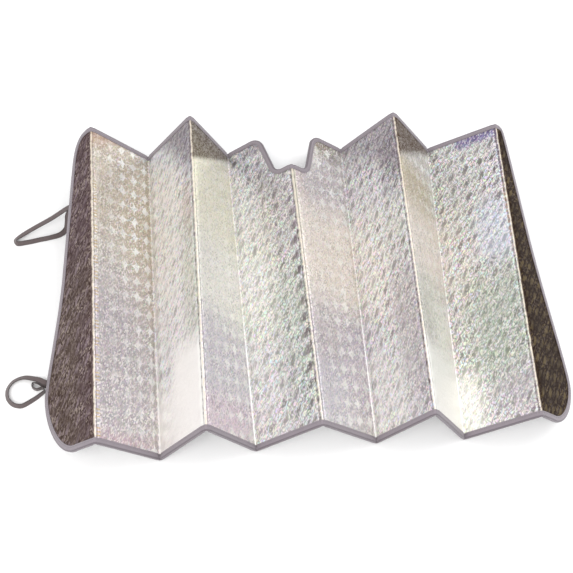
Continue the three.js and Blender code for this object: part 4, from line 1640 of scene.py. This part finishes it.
@dataclass
class ElasticLoop:
    """A flat elastic loop, whose two ends are sewn under the tape on the left edge.

    Args:
        outline: the sheet's outline.
        binding: the tape that covers the sewn ends.
        name: the piece's name.
        node: the CAD node that it stands for.
        rise: height of its place over the bottom edge.
        route: rows of place from the exit, share of the exit's height, and lean in degrees.
        width: width of the elastic.
        thickness: its thickness.
        tuck: how far its ends are sewn under the tape.
        exit_at: where it leaves the edge, as a distance in from the outline.
        gap: distance between two layers under the tape.
        probe: how far to the side the direction of the width is read.
        steps: number of steps along the loop.
    """

    outline: Outline
    binding: EdgeBinding
    name: str
    node: str
    rise: float
    route: Sequence[tuple[float, float, float, float]]
    width: float = 0.010
    thickness: float = 0.0014
    tuck: float = 0.015
    exit_at: float = -0.001
    gap: float = 0.0003
    probe: float = 0.001
    steps: int = 216

    def place(self) -> Place:
        """Where the loop is sewn on the outline."""
        pattern = self.outline.pattern
        return self.outline.left_edge_at(pattern.bottom_edge(pattern.outer_u) + self.rise)

    def sewn_end(self, layer: int) -> list[tuple[Vector, Vector]]:
        """One sewn end, from its inner end to where it leaves the edge.

        Args:
            layer: 0 for the end against the tape and 1 for the one under it.

        Returns:
            Centres, each with its width direction.
        """
        pattern = self.outline.pattern
        place = self.place()
        facing = pattern.film / 2 + self.binding.gap + self.binding.thickness
        depth = facing + (layer + 1) * self.gap + (layer + 0.5) * self.thickness
        aside = Vector((place.inwards.y, -place.inwards.x)) * self.probe
        rows = []
        for distance in (self.tuck, self.tuck / 2, self.exit_at):
            flat = place.inset(distance)
            beside = flat + aside
            centre = pattern.fold(flat.x, flat.y, -depth)
            rows.append((centre, (pattern.fold(beside.x, beside.y, -depth) - centre).normalized()))
        return rows

    def free_part(self, exit_point: Vector) -> list[tuple[Vector, Vector]]:
        """The free part of the loop, as centres, each with its width direction."""
        centres = []
        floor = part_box("edge_binding")[0].z
        for x, y, share, lean in self.route:
            tilt = math.radians(lean)
            rest = self.width * math.sin(tilt) + self.thickness * abs(math.cos(tilt))
            height = floor + rest / 2 + share * (exit_point.z - floor)
            centres.append(Vector((exit_point.x + x, exit_point.y + y, height)))
        rows = []
        for index, (centre, row) in enumerate(zip(centres, self.route)):
            before = centres[max(index - 1, 0)]
            after = centres[min(index + 1, len(centres) - 1)]
            heading = (after - before).normalized()
            level = Vector((-heading.y, heading.x, 0)).normalized()
            upright = heading.cross(level)
            tilt = math.radians(row[3])
            rows.append((centre, level * math.cos(tilt) + upright * math.sin(tilt)))
        return rows

    @staticmethod
    def spline(points: Sequence[Vector], t: float) -> tuple[Vector, Vector]:
        """A smooth curve through points, spaced by the root of their distance.

        Args:
            points: what it goes through.
            t: place along it, from 0 to 1.

        Returns:
            The point and the unit tangent.
        """
        whole = min(int(t * (len(points) - 1)), len(points) - 2)
        w = t * (len(points) - 1) - whole
        p1, p2 = points[whole], points[whole + 1]
        p0 = points[whole - 1] if whole > 0 else p1 * 2 - p2
        p3 = points[whole + 2] if whole + 2 < len(points) else p2 * 2 - p1
        d0, d1, d2 = (max((b - a).length ** 0.5, 1e-4) for a, b in ((p0, p1), (p1, p2), (p2, p3)))
        m1 = ((p1 - p0) / d0 - (p2 - p0) / (d0 + d1) + (p2 - p1) / d1) * d1
        m2 = ((p2 - p1) / d1 - (p3 - p1) / (d1 + d2) + (p3 - p2) / d2) * d1
        c2 = (p2 - p1) * 3 - m1 * 2 - m2
        c3 = (p1 - p2) * 2 + m1 + m2
        point = p1 + m1 * w + c2 * (w * w) + c3 * (w ** 3)
        return point, (m1 + c2 * (2 * w) + c3 * (3 * w * w)).normalized()

    def rings(self) -> list[tuple[Vector, Vector, Vector]]:
        """Centres along the loop, each with its half width and half thickness."""
        first = self.sewn_end(0)
        second = list(reversed(self.sewn_end(1)))
        if self.route[-1][3] < HALF_TURN / 2:
            second = [(centre, -width) for centre, width in second]
        rows = [*first, *self.free_part(first[-1][0]), *second]
        centres = [row[0] for row in rows]
        found = []
        for step in range(self.steps + 1):
            t = step / self.steps
            at = min(int(t * (len(rows) - 1)), len(rows) - 2)
            share = t * (len(rows) - 1) - at
            point, tangent = self.spline(centres, t)
            width = rows[at][1].lerp(rows[at + 1][1], share)
            width = (width - tangent * width.dot(tangent)).normalized()
            found.append((point, width * (self.width / 2), tangent.cross(width) * (self.thickness / 2)))
        return found

    def build(self, finish: bpy.types.Material) -> bpy.types.Object:
        """Builds the loop.

        Args:
            finish: its finish.

        Returns:
            The piece.
        """
        rings = self.rings()
        run = [0.0]
        for (here, _, _), (there, _, _) in zip(rings, rings[1:]):
            run.append(run[-1] + (there - here).length)
        half = [(-1.0, 0.45), (-0.95, 0.9), (-0.84, 1.0), (-0.56, 0.94), (-0.28, 1.0), (0.0, 0.94)]
        upper = half + [(-w, d) for w, d in reversed(half[:-1])]
        section = upper + [(-w, -d) for w, d in upper]

        def place_at(column: int, row: int) -> Vector:
            """The point of a cell."""
            centre, width, depth = rings[column]
            w, d = section[row % len(section)]
            return centre + width * w + depth * d

        def ribbon_uv(column: int, row: int) -> tuple[float, float]:
            """Distance along the ribbon and place across it."""
            return run[column], section[row % len(section)][0] * self.width / 2

        mesh = surface(len(rings), len(section) + 1, place_at, ribbon_uv)
        weld(mesh, capped=True)
        piece = finish_piece(self.name, mesh, [finish])
        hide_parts(self.node)
        return piece


@dataclass
class Sunshade:
    """The whole shade, in the order that it is made.

    Args:
        pattern: the folded pattern.
        upper_rise: height of the upper loop over the bottom edge.
        lower_rise: height of the lower loop over the bottom edge.
    """

    pattern: FoldedPattern = field(default_factory=FoldedPattern)
    upper_rise: float = 0.476
    lower_rise: float = 0.150

    def build(self) -> None:
        """Builds and dresses every piece."""
        outline = Outline(self.pattern)
        binding = EdgeBinding(outline)
        film = HolographicFilm(self.pattern).material()
        sheet = FoilSheet(outline).build(film, BubbleBack().material())
        tape = binding.build(TAPE.material())
        elastic = ELASTIC.material()
        upper = ElasticLoop(outline, binding, "upper_loop", "upper_strap", self.upper_rise, UPPER_ROUTE)
        lower = ElasticLoop(outline, binding, "lower_loop", "lower_strap", self.lower_rise, LOWER_ROUTE)
        upper.build(elastic)
        lower.build(elastic)
        stitches = Stitching(binding).build(SewingThread().material(), [upper.place(), lower.place()])


# The edging tape's darker band along its nose is painted shade.
TAPE = WovenTape(
    name="edging_weave",
    body=paint(136, 127, 134),
    edge=paint(84, 75, 82),
    edge_at=0.0034,
    edge_out=0.0014,
)
ELASTIC = WovenTape(
    name="elastic_weave",
    body=paint(92, 80, 80),
    edge=paint(48, 41, 41),
    edge_at=0.0036,
    edge_out=0.0044,
    pick=0.0012,
    ribs=0.0016,
)


@dataclass(frozen=True)
class Studio:
    """Camera, lights and floor. The camera stands where a solve on the nine creases puts it."""

    eye: tuple[float, float, float] = (-0.16555, -0.80477, 1.48093)
    target: tuple[float, float, float] = (0.00028, -0.01994, 0.04974)
    roll: float = 7.55
    focal_pixels: float = 921.96
    frame_pixels: float = 573
    sensor: float = 36.0
    floor_reach: float = 4.0
    floor_tones: tuple[Colour, Colour] = ((0.93, 0.93, 0.935), (0.9, 0.9, 0.905))
    surround: float = 0.95

    def camera(self) -> None:
        """Places the camera at the photograph's viewing angle."""
        data = bpy.data.cameras.new("camera")
        data.sensor_width = self.sensor
        data.lens = self.focal_pixels / self.frame_pixels * self.sensor
        camera = bpy.data.objects.new("camera", data)
        bpy.context.scene.collection.objects.link(camera)
        sight = Vector(self.target) - Vector(self.eye)
        turned = sight.to_track_quat("-Z", "Y").to_matrix() @ Matrix.Rotation(math.radians(self.roll), 3, "Z")
        camera.matrix_world = Matrix.Translation(self.eye) @ turned.to_4x4()
        bpy.context.scene.camera = camera

    def light(
        self,
        name: str,
        place: tuple[float, float, float],
        size: float,
        power: float,
        tone: Colour,
    ) -> None:
        """A soft square light that faces the shade.

        Args:
            name: its name.
            place: where it stands.
            size: its side.
            power: its power in watts.
            tone: its colour.
        """
        data = bpy.data.lights.new(name, "AREA")
        data.size = size
        data.energy = power
        data.color = tone
        lamp = bpy.data.objects.new(name, data)
        bpy.context.scene.collection.objects.link(lamp)
        turned = (-Vector(place)).to_track_quat("-Z", "Y").to_matrix().to_4x4()
        lamp.matrix_world = Matrix.Translation(place) @ turned

    def floor(self) -> None:
        """A plain pale floor."""
        mesh = bmesh.new()
        bmesh.ops.create_grid(mesh, x_segments=1, y_segments=1, size=self.floor_reach)
        data = bpy.data.meshes.new("floor")
        mesh.to_mesh(data)
        mesh.free()
        graph = Graph("floor_paint")
        where = graph.node("ShaderNodeTexCoord", {}, {}, "Object")
        colour = graph.mix(*self.floor_tones, graph.noise(where, 2.0))
        graph.feed({"Base Color": colour, "Roughness": 0.8})
        data.materials.append(graph.material)
        floor = bpy.data.objects.new("floor", data)
        bpy.context.scene.collection.objects.link(floor)

    def world(self) -> None:
        """A pale surround."""
        world = bpy.data.worlds.new("surround")
        world.use_nodes = True
        background = world.node_tree.nodes["Background"]
        background.inputs["Color"].default_value = (1.0, 1.0, 1.0, 1.0)
        background.inputs["Strength"].default_value = self.surround
        bpy.context.scene.world = world
        bpy.context.scene.view_settings.view_transform = "Standard"

    def build(self) -> None:
        """Sets up the studio."""
        self.camera()
        self.world()
        self.floor()
        self.light("key_light", (-0.8, -1.6, 2.4), size=1.6, power=46, tone=(1.0, 0.99, 0.97))
        self.light("fill_light", (1.6, 0.6, 2.2), size=1.6, power=20, tone=(0.97, 0.98, 1.0))


def main() -> None:
    """Builds the shade and its studio."""
    logging.basicConfig(level=logging.INFO, format="%(name)s: %(message)s")
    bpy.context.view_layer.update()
    Studio().build()
    Sunshade().build()
    bpy.context.view_layer.update()


if __name__ == "__main__":
    main()
